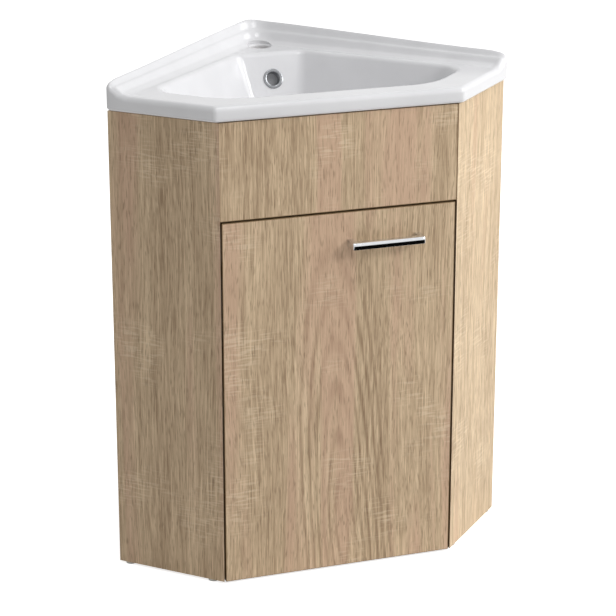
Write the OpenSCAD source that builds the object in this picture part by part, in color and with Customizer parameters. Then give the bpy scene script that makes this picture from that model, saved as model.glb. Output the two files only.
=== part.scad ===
// Corner vanity unit: a five-sided board cabinet with one door and a ceramic
// corner basin on top. It stands on the floor in a right-angled corner
// of a room. +Z is up and the door faces -Y. The origin is on the floor, at the
// bottom centre of the bounding box. All sizes are in millimetres.

/* [Cabinet] */
// Width of the front between its two outer corners
front_w = 400; // [340:5:460]
// Length of each side return, from the front corner back to the wall
return_w = 198; // [170:2:240]
// Height of the carcass boards, without the glides
carcass_h = 773; // [720:1:820]
// Thickness of the carcass boards
board_t = 18; // [16:1:20]
// Height of the fixed fascia above the door
fascia_h = 158; // [140:1:180]
// Height of the glides under the boards
glide_h = 4; // [3:1:8]
// Radius of a glide
glide_r = 8; // [6:1:8]
// Height of the rails along the walls
rail_h = 90; // [60:5:110]
// Height of the lower rails on the base panel
low_rail_h = 60; // [40:5:80]
// Width of the square post in the wall corner
post_w = 36; // [26:1:40]
// How far the front rail reaches below the fascia, as a door stop
stop_lap = 20; // [16:1:30]
// How far the front rail reaches up behind the fascia
rail_lap = 60; // [40:5:80]
// Thickness of the edge bands
band_t = 1; // [0.5:0.5:2]

/* [Shelf] */
// Height of the shelf's underside above the floor
shelf_z = 318; // [250:2:380]
// Thickness of the shelf board
shelf_t = 16; // [12:1:18]
// Distance of the shelf's front edge behind the front plane
shelf_front = 62; // [50:2:90]
// Clearance of the shelf to the side panels, the walls and the post
shelf_gap = 1.5; // [1:0.5:3]
// Radius of a shelf pin's peg
peg_r = 2.5; // [2:0.5:3]
// Depth of a peg in its board
peg_l = 9; // [6:1:11]
// Spacing of the spare pin holes
pin_pitch = 32; // [25:1:40]

/* [Door] */
// Distance between the door's back and the boards behind it
door_room = 2; // [1.3:0.1:3]
// Gap between the door and the boards round it
door_gap = 3; // [2:0.5:4]
// Radius of a door bumper
bumper_r = 5; // [4:0.5:6]
// Distance of the bumpers from the door's right edge
bumper_in = 50; // [20:5:80]

/* [Handle] */
// Length of the handle
handle_l = 124; // [100:2:180]
// Height of the handle's bar
handle_h = 12; // [10:0.5:14]
// Radius of the handle's upper front edge
handle_nose = 5.5; // [2:0.5:5.5]
// Radius of the handle's lower front edge
handle_foot = 1.5; // [0.5:0.5:2]
// Depth of the handle's bar, front to back
handle_d = 11; // [8:1:13]
// Width of each handle leg
leg_w = 9; // [8:0.5:12]
// How far the handle stands out from the door
handle_out = 28; // [26:1:36]
// Distance of the handle's end from the door's right edge
handle_in = 61; // [40:1:100]
// Distance of the handle's middle below the door's top edge
handle_down = 51; // [40:1:90]
// Radius of the handle screws
handle_screw_r = 2; // [1.5:0.5:2]

/* [Hinges] */
// Distance of each hinge from the door's top and bottom edges
hinge_end = 90; // [70:5:130]
// Radius of the hinge cup
cup_r = 17.5; // [13:0.5:17.5]
// Depth of the hinge cup in the door
cup_depth = 12; // [10:0.5:12.5]
// Width of the door's rim between its edge and the cup
cup_rim = 13; // [11:0.5:15]
// Wall of the hinge cup and thickness of its flange
cup_wall = 1.2; // [1:0.1:1.5]
// Thickness of a link
link_t = 4; // [3.5:0.5:4.5]
// Height of the inner link
inner_link_h = 12; // [10:1:14]
// Height of each bar of the outer link
outer_bar_h = 7; // [5:1:8]
// Radius of the hinge pins
pin_r = 2; // [1.5:0.1:2]
// Distance of the hinge plate's screws behind the side panel's front corner
plate_setback = 45; // [42:1:52]
// Thickness of a hinge ear
ear_t = 2; // [1.5:0.5:3]

/* [Basin] */
// Height of the basin's vertical apron
apron_h = 27; // [24:1:34]
// Overhang of the basin at the front
front_over = 4; // [2:0.5:8]
// Overhang of the basin at the side returns
side_over = 8; // [4:0.5:12]
// Width of the basin's foot, which rests on the boards
foot_w = 26; // [22:1:30]
// Thickness of the deck
deck_t = 12; // [10:1:14]
// Thickness of the bowl's wall
bowl_wall = 9; // [7:0.5:10]
// Depth of the bowl below the deck
bowl_depth = 122; // [100:2:130]
// Width of the deck in front of the bowl
deck_front = 46; // [44:1:60]
// Width of the deck beside the bowl, at the side returns
deck_side = 52; // [50:1:70]
// Width of the deck between the bowl and each wall
deck_wall = 50; // [46:1:60]
// Distance of the bowl's rear edge from the wall corner
deck_rear = 128; // [124:1:150]
// How far the bowl's wall leans in over each unit of depth
bowl_lean = 0.4; // [0.3:0.02:0.5]
// Depth of the rounded lower part of the bowl
bowl_round = 24; // [16:2:30]
// How far that part draws in
bowl_draw = 30; // [20:2:36]
// Radius of the bowl's corners in plan
bowl_r = 30; // [20:1:36]
// Height of the upstand's top above the deck at its ends
upstand_end = 25; // [18:1:30]
// Height of the upstand's top above the deck in the wall corner
upstand_corner = 37; // [30:1:45]
// Thickness of the upstand
upstand_t = 20; // [14:1:24]
// Size of the cove between the deck and the upstand
cove = 12; // [8:1:14]
// Radius of the tap hole
tap_r = 17.5; // [16:0.5:18]
// Distance of the tap hole's middle from the wall corner
tap_from_corner = 72; // [70:1:80]
// Width of the bevel round the tap hole's mouth
tap_bevel = 3; // [1:0.5:5]
// Radius of the waste hole
waste_r = 23; // [20:0.5:24]
// Distance of the waste hole's middle behind the front plane
waste_y = 205; // [190:1:220]
// Radius of the flange recess round the waste hole
waste_seat_r = 32; // [30:0.5:34]
// Depth of that recess
waste_seat = 2; // [1:0.5:3]
// Length of the collar under the bowl's floor
collar_h = 24; // [18:1:30]
// Radius of the overflow hole
overflow_r = 13; // [11:0.5:14]
// Depth of the overflow hole's middle below the deck
overflow_down = 42; // [36:1:56]
// Outer radius of the overflow ring
ring_r = 17; // [15:0.5:18]
// Thickness of the overflow ring's flange
ring_t = 2; // [1.5:0.5:3]
// Inner radius of the overflow ring
ring_bore_r = 11; // [9:0.5:11.5]

/* [Fixings] */
// Radius of the wooden dowels
dowel_r = 4; // [3:0.5:4]
// Length of the dowels
dowel_l = 30; // [24:1:36]
// Depth of a dowel or bolt in a side panel
dowel_in = 11; // [8:1:12]
// Radius of the cam housings
cam_r = 7.5; // [6:0.5:7.5]
// Height of the cam housings
cam_h = 12.5; // [10:0.5:13]
// Distance of a cam's middle from the joint
cam_from_joint = 34; // [30:1:40]
// Radius of the wall fixing holes
wall_hole_r = 3; // [2.5:0.5:4]
// Spacing of the two wall fixing holes in each rail
wall_hole_pitch = 240; // [160:10:280]

/* [Hidden] */
$fn = 48;

// Clearances
snug = 0.05;                // radial clearance of a peg, pin or screw in its hole
fit = 0.1;                  // clearance of a piece that is let into a board
eps = 0.01;                 // overshoot of a cut

// Plan of the cabinet, measured from the middle of the front plane
diag = sqrt(2);
half_w = front_w / 2;
corner_y = half_w + return_w * diag;
wall_l = half_w * diag + return_w;
floor_y = -(corner_y - handle_out) / 2;   // moves the front plane to its place in the frame

// Heights
carcass_top = glide_h + carcass_h;
base_top = glide_h + board_t;
fascia_z = carcass_top - fascia_h;
door_z = glide_h;
door_top = fascia_z - door_gap;
door_h = door_top - door_z;
rail_z = carcass_top - rail_h;
deck_z = carcass_top + apron_h;

// Thickness of the door and of its bumpers
bumper_play = 0.3;
door_t = board_t - door_room;
bumper_t = door_room - bumper_play;

// Corners of the plan drawn in by a front, side and wall distance
function side_x(y, s) = half_w + y - s * diag;
function back_y(s, w) = (corner_y - half_w + (s - w) * diag) / 2;
function rear_y(w) = corner_y - w * diag;
function plan(f, s, w) = [
    [-side_x(f, s), f],
    [side_x(f, s), f],
    [side_x(back_y(s, w), s), back_y(s, w)],
    [0, rear_y(w)],
    [-side_x(back_y(s, w), s), back_y(s, w)]
];

// Frames that the pieces are placed in
module in_frame() translate([0, floor_y, 0]) children();
module mirrored() mirror([1, 0, 0]) children();
// x runs back along the left side return, y points out of the cabinet
module on_return() translate([-half_w, 0, 0]) rotate([0, 0, 135]) children();
// x runs along the left wall towards the corner, y points into the wall
module on_wall() translate([-side_x(back_y(0, 0), 0), back_y(0, 0), 0]) rotate([0, 0, 45]) children();
module slab(f, s, w, z, h) translate([0, 0, z]) linear_extrude(h) polygon(plan(f, s, w));
// A rod along +Y, from the origin
module rod_y(r, l) rotate([-90, 0, 0]) cylinder(r = r, h = l);
// A rod along +X, from the origin
module rod_x(r, l) rotate([0, 90, 0]) cylinder(r = r, h = l);
// A countersunk wood screw along -Z, with its head's top at the origin
module wood_screw(r, l) {
    translate([0, 0, -l]) cylinder(r = r, h = l);
    translate([0, 0, -r]) cylinder(r1 = r, r2 = 2 * r, h = r);
}
// The countersink that such a screw's head sits in
module head_seat(r) translate([0, 0, -r]) cylinder(r1 = r + snug, r2 = 2 * r + snug, h = r + eps);

// Boards ------------------------------------------------------------------

wood = "#c4a880";
side_pin_x = [return_w * 0.38, return_w * 0.83];      // places of the shelf pins along the return
base_joint_x = [return_w * 0.2, return_w * 0.5, return_w * 0.8];
low_dowel_z = [low_rail_h * 0.3, low_rail_h * 0.7];
high_dowel_z = [rail_h * 0.3, rail_h * 0.7];
plate_screw_z = 16;         // half the spacing of a hinge plate's screws
plate_screw_r = 2;
plate_screw_l = 13;
glide_pin_r = 2;
glide_pin_l = 12;
glide_x = [return_w * 0.13, return_w * 0.92];
hinge_z = [door_z + hinge_end, door_top - hinge_end];

// The left side panel: its front edge is cut to face the door's, its inner face is bored
module side_board(hinged) difference() {
    translate([0, 0, glide_h]) linear_extrude(carcass_h)
        polygon([[0, 0], [return_w, 0], [return_w, -board_t], [board_t, -board_t]]);
    for (x = side_pin_x, step = [-1, 0, 1])
        translate([x, -board_t - eps, shelf_z - peg_r + step * pin_pitch])
            rod_y(peg_r + snug, peg_l + eps);
    for (x = base_joint_x)
        translate([x, -board_t - eps, glide_h + board_t / 2]) rod_y(peg_r + snug, dowel_in + eps);
    for (z = low_dowel_z)
        translate([return_w - board_t / 2, -board_t - eps, base_top + z])
            rod_y(dowel_r + snug, dowel_in + eps);
    for (z = high_dowel_z)
        translate([return_w - board_t / 2, -board_t - eps, rail_z + z])
            rod_y(dowel_r + snug, dowel_in + eps);
    for (x = glide_x)
        translate([x, -board_t / 2, glide_h - eps])
            cylinder(r = glide_pin_r + snug, h = glide_pin_l + eps);
    if (hinged)
        for (z = hinge_z, side = [-1, 1])
            translate([plate_setback, -board_t - eps, z + side * plate_screw_z])
                rod_y(plate_screw_r + snug, plate_screw_l - plate_t + 2 * eps);
}

module left_side_panel() color(wood) in_frame() on_return() side_board(true);
module right_side_panel() color(wood) in_frame() mirrored() on_return() side_board(false);

// Places of the cam joints, along both returns of the base panel
module at_base_joints() for (x = base_joint_x) {
    on_return() translate([x, -board_t, glide_h + board_t / 2]) children();
    mirrored() on_return() translate([x, -board_t, glide_h + board_t / 2]) children();
}

post_screw_l = 45;
post_screw_r = 2.5;
module at_post_middle() translate([0, rear_y(post_w / 2), 0]) children();

module base_panel() color(wood) in_frame() difference() {
    slab(board_t, board_t, 0, glide_h, board_t);
    at_base_joints() {
        rotate([180, 0, 0]) rod_y(dowel_r + snug, cam_from_joint + eps);
        translate([0, -cam_from_joint, -board_t / 2 - eps])
            cylinder(r = cam_r + fit, h = cam_h + fit + eps);
    }
    at_post_middle() translate([0, 0, glide_h - eps]) {
        cylinder(r = post_screw_r + snug, h = board_t + 2 * eps);
        cylinder(r1 = 2 * post_screw_r + snug, r2 = post_screw_r + snug, h = post_screw_r);
    }
    for (side = [-1, 1]) at_rear_glide(side)
        translate([0, 0, -eps]) cylinder(r = glide_pin_r + snug, h = glide_pin_l + eps);
}

// Places of the two glides under the base panel, beside the corner
rear_glide_in = front_w * 0.15;
module at_rear_glide(side)
    translate([side * rear_glide_in, rear_y(board_t / 2) - rear_glide_in, glide_h]) children();

fascia_screw_x = [-half_w * 0.7, -half_w * 0.25, half_w * 0.25, half_w * 0.7];
fascia_screw_l = 30;
fascia_screw_r = 1.75;

// A board across the front, between the edges of both side panels
module front_board(z, h) translate([-half_w, 0, z]) cube([front_w, board_t, h]);

module fascia_panel() color(wood) in_frame() difference() {
    front_board(fascia_z + band_t, fascia_h - band_t);
    at_fascia_screws() translate([0, 0, -fascia_screw_l])
        cylinder(r = fascia_screw_r + snug, h = fascia_screw_l);
}

module fascia_edge_band() color(wood) in_frame() front_board(fascia_z, band_t);

// Places of the screws that hold the fascia, heads on the front rail's back
module at_fascia_screws() for (x = fascia_screw_x)
    translate([x, 2 * board_t, fascia_z + rail_lap / 2]) rotate([-90, 0, 0]) children();

module front_rail() color(wood) in_frame() difference() {
    translate([0, 0, fascia_z - stop_lap]) linear_extrude(stop_lap + rail_lap) polygon([
        [-side_x(board_t, board_t), board_t], [side_x(board_t, board_t), board_t],
        [side_x(2 * board_t, board_t), 2 * board_t], [-side_x(2 * board_t, board_t), 2 * board_t]
    ]);
    at_fascia_screws() translate([0, 0, eps]) {
        translate([0, 0, -board_t - 2 * eps]) cylinder(r = fascia_screw_r + snug, h = board_t + 2 * eps);
        head_seat(fascia_screw_r);
    }
}

// Wall fixing holes of a rail, about the middle of its clear length
wall_hole_z = rail_z + rail_h / 2;
wall_hole_mid = (board_t + wall_l) / 2;
module wall_holes() for (side = [-1, 1])
    translate([wall_hole_mid + side * wall_hole_pitch / 2, -board_t - eps, wall_hole_z])
        rod_y(wall_hole_r, board_t + 2 * eps);

// Dowel places at a rail's end, going into the side panel
module at_rail_dowels(zs) for (z = zs)
    translate([board_t - dowel_in, -board_t / 2, z]) children();

bracket_l = 40;             // leg length of the steel corner bracket
bracket_h = 30;
bracket_t = 2;
bracket_screw_r = 2;
bracket_screw_l = 16;
bracket_screw_in = 28;
// Places of the bracket's screws on the left rail, heads facing the cabinet
module at_bracket_screws() for (z = [-8, 8])
    translate([wall_l - board_t - bracket_screw_in, -board_t - bracket_t, wall_hole_z + z])
        rotate([90, 0, 0]) children();
module bracket_pilots() at_bracket_screws()
    translate([0, 0, -bracket_screw_l]) cylinder(r = bracket_screw_r + snug, h = bracket_screw_l);

module high_rail(end) difference() {
    translate([board_t, -board_t, rail_z]) cube([end - board_t, board_t, rail_h]);
    wall_holes();
    bracket_pilots();
    at_rail_dowels([for (z = high_dowel_z) rail_z + z]) rod_x(dowel_r + snug, dowel_l + fit);
}
module low_rail() difference() {
    translate([board_t, -board_t, base_top]) cube([wall_l - post_w - board_t, board_t, low_rail_h]);
    at_rail_dowels([for (z = low_dowel_z) base_top + z]) rod_x(dowel_r + snug, dowel_l + fit);
}

module upper_left_rail() color(wood) in_frame() on_wall() high_rail(wall_l);
module upper_right_rail() color(wood) in_frame() mirrored() on_wall() high_rail(wall_l - board_t);
module lower_left_rail() color(wood) in_frame() on_wall() low_rail();
module lower_right_rail() color(wood) in_frame() mirrored() on_wall() low_rail();

post_pin_x = wall_l - post_w / 2;
module corner_post() color(wood) in_frame() difference() {
    on_wall() translate([wall_l - post_w, -post_w, base_top]) cube([post_w, post_w, rail_z - base_top]);
    at_post_middle() translate([0, 0, base_top - eps])
        cylinder(r = post_screw_r + snug, h = post_screw_l - board_t + fit);
    for (step = [-1, 0, 1]) {
        on_wall() post_peg_hole(step);
        mirrored() on_wall() post_peg_hole(step);
    }
}
module post_peg_hole(step) translate([post_pin_x, -post_w - eps, shelf_z - peg_r + step * pin_pitch])
    rod_y(peg_r + snug, peg_l + eps);

// Shelf -------------------------------------------------------------------

module shelf_board(front, z, h) difference() {
    slab(front, board_t + shelf_gap, shelf_gap, z, h);
    on_wall() translate([wall_l - post_w - shelf_gap, -post_w - shelf_gap, z - eps])
        cube([post_w + 2 * shelf_gap, post_w + 2 * shelf_gap, h + 2 * eps]);
}
module shelf() color(wood) in_frame() shelf_board(shelf_front + band_t, shelf_z, shelf_t);
module shelf_edge_band() color(wood) in_frame() difference() {
    slab(shelf_front, board_t + shelf_gap, shelf_gap, shelf_z, shelf_t);
    translate([-front_w, shelf_front + band_t, shelf_z - eps])
        cube([2 * front_w, corner_y, shelf_t + 2 * eps]);
}

// A shelf pin: a peg in the board, a collar and a flat tongue under the shelf
collar_r = 4.5;
collar_t = 1;
tongue = [8, 9, 3];
module shelf_pin() {
    translate([0, -collar_t, -peg_r]) rod_y(peg_r, peg_l + collar_t);
    intersection() {
        translate([0, -collar_t, -peg_r]) rod_y(collar_r, collar_t);
        translate([-collar_r, -collar_t, -2 * collar_r]) cube([2 * collar_r, collar_t, 2 * collar_r]);
    }
    translate([-tongue.x / 2, -collar_t - tongue.y, -tongue.z]) cube(tongue);
}
module shelf_pins() color("silver") in_frame() {
    for (x = side_pin_x) {
        on_return() translate([x, -board_t, shelf_z]) shelf_pin();
        mirrored() on_return() translate([x, -board_t, shelf_z]) shelf_pin();
    }
    on_wall() translate([post_pin_x, -post_w, shelf_z]) shelf_pin();
    mirrored() on_wall() translate([post_pin_x, -post_w, shelf_z]) shelf_pin();
}

// Carcass fixings ---------------------------------------------------------

module corner_bracket() color("silver") in_frame() on_wall() difference() {
    inner_l = bracket_l - bracket_t;
    bracket_z = wall_hole_z - bracket_h / 2;
    translate([wall_l - board_t - bracket_l, -board_t - bracket_l, bracket_z]) difference() {
        cube([bracket_l, bracket_l, bracket_h]);
        translate([-eps, -eps, -eps]) cube([inner_l + eps, inner_l + eps, bracket_h + 2 * eps]);
    }
    bracket_holes();
    corner_swap() bracket_holes();
}
// Turns what lies on the left wall onto the right wall, in the wall's frame
module corner_swap() translate([wall_l, 0, 0]) rotate([0, 0, -90]) mirror([1, 0, 0])
    translate([-wall_l, 0, 0]) children();
module bracket_holes() at_bracket_screws() {
    translate([0, 0, -bracket_t - eps]) cylinder(r = bracket_screw_r + snug, h = bracket_t + 2 * eps);
    head_seat(bracket_screw_r);
}
module corner_bracket_screws() color("gray") in_frame() on_wall() {
    at_bracket_screws() wood_screw(bracket_screw_r, bracket_screw_l);
    corner_swap() at_bracket_screws() wood_screw(bracket_screw_r, bracket_screw_l);
}

bolt_tip = 4;               // how far a cam bolt's head stops short of the cam's middle
bolt_neck_l = 8;
bolt_neck_r = 2;
bolt_head_r = 3.4;
bolt_head_l = 4;
// A cam bolt along -Y, from the joint into the base, threaded into the side panel
module cam_bolt() {
    bolt_l = cam_from_joint - bolt_tip;
    rod_y(peg_r, dowel_in);
    translate([0, -bolt_l + bolt_neck_l, 0]) rod_y(dowel_r, bolt_l - bolt_neck_l);
    translate([0, -bolt_l, 0]) rod_y(bolt_neck_r, bolt_neck_l);
    translate([0, -bolt_l, 0]) rod_y(bolt_head_r, bolt_head_l);
}
module cam_bolts() color("silver") in_frame() at_base_joints() cam_bolt();

cam_slot = 2 * dowel_r + 0.5;
module cam_housings() color("silver") in_frame() at_base_joints()
    translate([0, -cam_from_joint, -board_t / 2]) difference() {
        cylinder(r = cam_r, h = cam_h);
        translate([-cam_slot / 2, -bolt_head_r, board_t / 2 - cam_slot / 2])
            cube([cam_slot, cam_r + bolt_head_r + eps, cam_slot]);
        translate([-cam_r, -0.75, -eps]) cube([2 * cam_r, 1.5, 2 + eps]);
    }

module rail_dowel_set(zs) at_rail_dowels(zs) rod_x(dowel_r, dowel_l);
module rail_dowels() color("burlywood") in_frame() {
    zs = concat([for (z = high_dowel_z) rail_z + z], [for (z = low_dowel_z) base_top + z]);
    on_wall() rail_dowel_set(zs);
    mirrored() on_wall() rail_dowel_set(zs);
}

module post_screw() color("gray") in_frame() at_post_middle()
    translate([0, 0, glide_h]) mirror([0, 0, 1]) wood_screw(post_screw_r, post_screw_l);

module fascia_screws() color("gray") in_frame() at_fascia_screws()
    wood_screw(fascia_screw_r, fascia_screw_l);

module glide() {
    translate([0, 0, -glide_h]) cylinder(r = glide_r, h = glide_h);
    cylinder(r = glide_pin_r, h = glide_pin_l);
}
module glides() color("#d8d8d4") in_frame() {
    for (x = glide_x) {
        on_return() translate([x, -board_t / 2, glide_h]) glide();
        mirrored() on_return() translate([x, -board_t / 2, glide_h]) glide();
    }
    for (side = [-1, 1]) at_rear_glide(side) glide();
}

// Basin -------------------------------------------------------------------

// The bowl's outline in plan, drawn in by d from its edge on the deck
bowl_rear_y = corner_y - deck_rear;
function bowl_x(y, d) = side_x(y, deck_side + d);
function bowl_corners(d) = let (
    f = deck_front + d, r = bowl_rear_y - d,
    b = back_y(deck_side + d, deck_wall + d), top = rear_y(deck_wall + d)
) [
    [-bowl_x(f, d), f], [bowl_x(f, d), f], [bowl_x(b, d), b],
    [top - r, r], [r - top, r], [-bowl_x(b, d), b]
];
// One level of the bowl: its outline with round corners of radius r
module bowl_level(d, r, z, h) translate([0, 0, z]) for (p = bowl_corners(d + r))
    translate(p) cylinder(r = r, h = h, $fn = 32);
// The whole bowl, grown outwards by the wall and cut off at the height top
module bowl_body(grow, top) {
    wall_d = (bowl_depth - bowl_round) * bowl_lean;
    floor_r = bowl_r * 0.8;
    under = deck_z - bowl_depth - grow;
    hull() {
        bowl_level(-grow, bowl_r, top - 1, 1);
        bowl_level(wall_d - grow, bowl_r, under + bowl_round, 1);
        bowl_level(wall_d + bowl_draw / 3 - grow, bowl_r, under + bowl_round / 3, 1);
        bowl_level(wall_d + bowl_draw - grow, floor_r, under, 1);
    }
}

// Frame of the overflow on the leaning rear wall; z points into the bowl
overflow_tilt = atan(bowl_lean);
module at_overflow()
    translate([0, bowl_rear_y - overflow_down * bowl_lean, deck_z - overflow_down])
        rotate([90 - overflow_tilt, 0, 0]) children();

// The overflow's channel, behind the rear wall and under the floor to the waste
duct_w = 34;
duct_d = 12;
duct_wall = 6;
duct_floor_h = 10;
floor_z = deck_z - bowl_depth;
duct_z = floor_z - bowl_wall - duct_floor_h;
function lean_y(z) = bowl_rear_y - (deck_z - z) * bowl_lean;
duct_top = deck_z - overflow_down + overflow_r + 2;
duct_turn = lean_y(floor_z) + bowl_wall + duct_d;
// The channel drawn out by g on all its sides
module duct(g) {
    translate([-duct_w / 2 - g, 0, 0]) rotate([90, 0, 90]) linear_extrude(duct_w + 2 * g) polygon([
        [lean_y(duct_top) + bowl_wall, duct_top + g],
        [lean_y(duct_top) + bowl_wall + duct_d + g, duct_top + g],
        [duct_turn + g, floor_z], [duct_turn + g, duct_z - g],
        [waste_y, duct_z - g], [waste_y, duct_z + duct_floor_h],
        [duct_turn - duct_d, duct_z + duct_floor_h]
    ]);
}

// An upstand along the left wall, higher in the corner, with a cove at its foot
module upstand() {
    span = wall_l + side_over;
    translate([-side_over, 0, deck_z - eps]) rotate([90, 0, 0]) linear_extrude(upstand_t)
        polygon([[0, 0], [span, 0], [span, upstand_corner + eps], [0, upstand_end + eps]]);
    translate([-side_over, -upstand_t, deck_z - eps]) rotate([90, 0, 90]) linear_extrude(span)
        polygon([[0, 0], [0, cove], [-cove, 0]]);
}

module basin() color("white") in_frame() difference() {
    union() {
        slab(-front_over, -side_over, 0, deck_z - deck_t, deck_t);
        difference() {
            slab(-front_over, -side_over, 0, carcass_top, apron_h - deck_t + eps);
            slab(foot_w - front_over, foot_w - side_over, foot_w, carcass_top - eps, apron_h);
        }
        bowl_body(bowl_wall, deck_z - eps);
        translate([0, waste_y, floor_z - bowl_wall - collar_h])
            cylinder(r = waste_seat_r, h = collar_h + bowl_wall - eps);
        duct(duct_wall);
        intersection() {
            union() {
                on_wall() upstand();
                mirrored() on_wall() upstand();
            }
            slab(-front_over, -side_over, 0, deck_z - deck_t, 2 * apron_h + upstand_corner);
        }
    }
    bowl_body(0, deck_z + 1);
    translate([0, corner_y - tap_from_corner, 0]) {
        translate([0, 0, deck_z - deck_t - eps]) cylinder(r = tap_r, h = deck_t + 2 * eps);
        translate([0, 0, deck_z - tap_bevel])
            cylinder(r1 = tap_r, r2 = tap_r + tap_bevel + eps, h = tap_bevel + eps);
    }
    translate([0, waste_y, 0]) {
        translate([0, 0, floor_z - bowl_wall - collar_h - eps]) cylinder(r = waste_r, h = bowl_depth);
        translate([0, 0, floor_z - waste_seat]) cylinder(r = waste_seat_r, h = bowl_depth);
    }
    at_overflow() translate([0, 0, -bowl_wall - duct_d / 2])
        cylinder(r = overflow_r, h = bowl_wall + duct_d);
    duct(0);
}

module overflow_ring() color("#d9dcdf") in_frame() at_overflow() difference() {
    union() {
        translate([0, 0, fit]) cylinder(r = ring_r, h = ring_t);
        translate([0, 0, -bowl_wall / 2]) cylinder(r = overflow_r - snug, h = bowl_wall / 2 + ring_t);
    }
    translate([0, 0, -bowl_wall]) cylinder(r = ring_bore_r, h = bowl_wall + 2 * ring_t);
}

// Hinges ------------------------------------------------------------------

// The door turns on the vertical line of the left outer corner. Each hinge has a
// fixed arm with pivot q, a cup in the door with pivot b, and two links between.
// The corner line, q, b and the elbow are the corners of a parallelogram, so the
// inner link turns with the door and the outer link keeps its direction.
plate_t = 6;
plate_l = 30;
plate_h = 16;
plate_front = 10;           // how far the plate reaches in front of its screws
wing_t = 2;
wing_l = 12;
wing_rim = 7;               // height of the plate's wing beyond its screws
pivot_back = 16;            // distance of pivot q behind the front corner, along the return
pivot_in = 12;              // distance of pivot q from the side panel's inner face
cup_pivot = [26, 6];        // pivot b: right of the door's axis and behind the door's back
link_play = 0.3;            // play of a link between its neighbours
arm_h = inner_link_h + 2 * link_play + 2 * ear_t;
arm_wall = 1.5;
arm_end = 26;               // how far the arm runs behind the plate's screws
ear_r = 5;                  // radius of a fork's or cup's ear round its pivot
channel_start = pivot_back + ear_r;

q_pos = [(pivot_in + board_t - pivot_back) / diag, (pivot_in + board_t + pivot_back) / diag];
b_pos = [cup_pivot.x, door_t + cup_pivot.y];
inner_l = norm(b_pos);
outer_l = norm(q_pos);
inner_dir = atan2(b_pos.y, b_pos.x);
outer_dir = atan2(q_pos.y, q_pos.x);

module at_hinges() for (z = hinge_z) translate([0, 0, z]) children();

module hinge_plates() color("silver") in_frame() on_return() at_hinges() difference() {
    union() {
        translate([plate_setback - plate_front, -board_t - plate_t, -plate_h / 2])
            cube([plate_l, plate_t, plate_h]);
        translate([plate_setback - wing_l / 2, -board_t - wing_t, -plate_screw_z - wing_rim])
            cube([wing_l, wing_t, 2 * (plate_screw_z + wing_rim)]);
    }
    for (side = [-1, 1]) translate([plate_setback, -board_t - wing_t - eps, side * plate_screw_z])
        rod_y(plate_screw_r + snug, wing_t + 2 * eps);
}
module hinge_plate_screws() color("gray") in_frame() on_return() at_hinges() for (side = [-1, 1])
    translate([plate_setback, -board_t - wing_t, side * plate_screw_z]) {
        rod_y(plate_screw_r, plate_screw_l - plate_t + wing_t);
        translate([0, -2, 0]) rod_y(2 * plate_screw_r, 2);
    }

// The arm: a channel on the plate, with a fork round pivot q
module hinge_arms() color("silver") in_frame() on_return() at_hinges() {
    near = -board_t - plate_t;
    pivot_y = -board_t - pivot_in;
    far = pivot_y - ear_r;
    arm_l = plate_setback + arm_end - channel_start;
    slot_h = inner_link_h + 2 * link_play;
    difference() {
        union() {
            translate([channel_start, far, -arm_h / 2]) cube([arm_l, near - far, arm_h]);
            translate([pivot_back, far, -arm_h / 2]) cube([ear_r + eps, 2 * ear_r, arm_h]);
            translate([pivot_back, pivot_y, -arm_h / 2]) cylinder(r = ear_r, h = arm_h);
        }
        translate([pivot_back - ear_r - 1, far - eps, -slot_h / 2])
            cube([arm_l, near - far - arm_wall + eps, slot_h]);
        translate([pivot_back - ear_r - 1, far - eps, -slot_h / 2])
            cube([2 * ear_r + 1, near - far + 1, slot_h]);
        translate([pivot_back, pivot_y, -arm_h]) cylinder(r = pin_r + snug, h = 2 * arm_h);
    }
}

module hinge_arm_pins() color("silver") in_frame() on_return() at_hinges()
    translate([pivot_back, -board_t - pivot_in, -arm_h / 2]) cylinder(r = pin_r, h = arm_h);

// A flat bar with round ends, from the origin along +X
module link_bar(l, h) {
    cylinder(r = link_t, h = h);
    translate([l, 0, 0]) cylinder(r = link_t, h = h);
    translate([0, -link_t / 2, 0]) cube([l, link_t, h]);
}
module hinge_inner_links() color("silver") in_frame() at_hinges()
    translate([-half_w + q_pos.x, q_pos.y, 0]) rotate([0, 0, inner_dir]) difference() {
        translate([0, 0, -inner_link_h / 2]) link_bar(inner_l, inner_link_h);
        for (x = [0, inner_l])
            translate([x, 0, -inner_link_h]) cylinder(r = pin_r + snug, h = 2 * inner_link_h);
    }

outer_z = inner_link_h / 2 + link_play;
ear_z = outer_z + outer_bar_h + link_play;
bridge_l = 10;
module hinge_outer_links() color("silver") in_frame() at_hinges()
    translate([-half_w + b_pos.x, b_pos.y, 0]) rotate([0, 0, outer_dir]) difference() {
        union() {
            translate([0, 0, outer_z]) link_bar(outer_l, outer_bar_h);
            translate([0, 0, -outer_z - outer_bar_h]) link_bar(outer_l, outer_bar_h);
            translate([0, 0, -outer_z - eps]) cylinder(r = link_t, h = 2 * outer_z + 2 * eps);
            translate([0, -link_t / 2, -outer_z - eps]) cube([bridge_l, link_t, 2 * outer_z + 2 * eps]);
        }
        for (x = [0, outer_l])
            translate([x, 0, -2 * ear_z]) cylinder(r = pin_r + snug, h = 4 * ear_z);
    }

// The pins that join the two links of each hinge at the elbow
module hinge_elbow_pins() color("silver") in_frame() at_hinges()
    translate([-half_w + q_pos.x + b_pos.x, q_pos.y + b_pos.y, -outer_z - outer_bar_h])
        cylinder(r = pin_r, h = 2 * (outer_z + outer_bar_h));

// Door --------------------------------------------------------------------

// Plan of the door drawn in by d from its gap, between two depths
module door_layer(d, y0, y1, z, h) translate([-half_w + door_gap + d, y0, z])
    cube([front_w - 2 * (door_gap + d), y1 - y0, h]);

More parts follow.
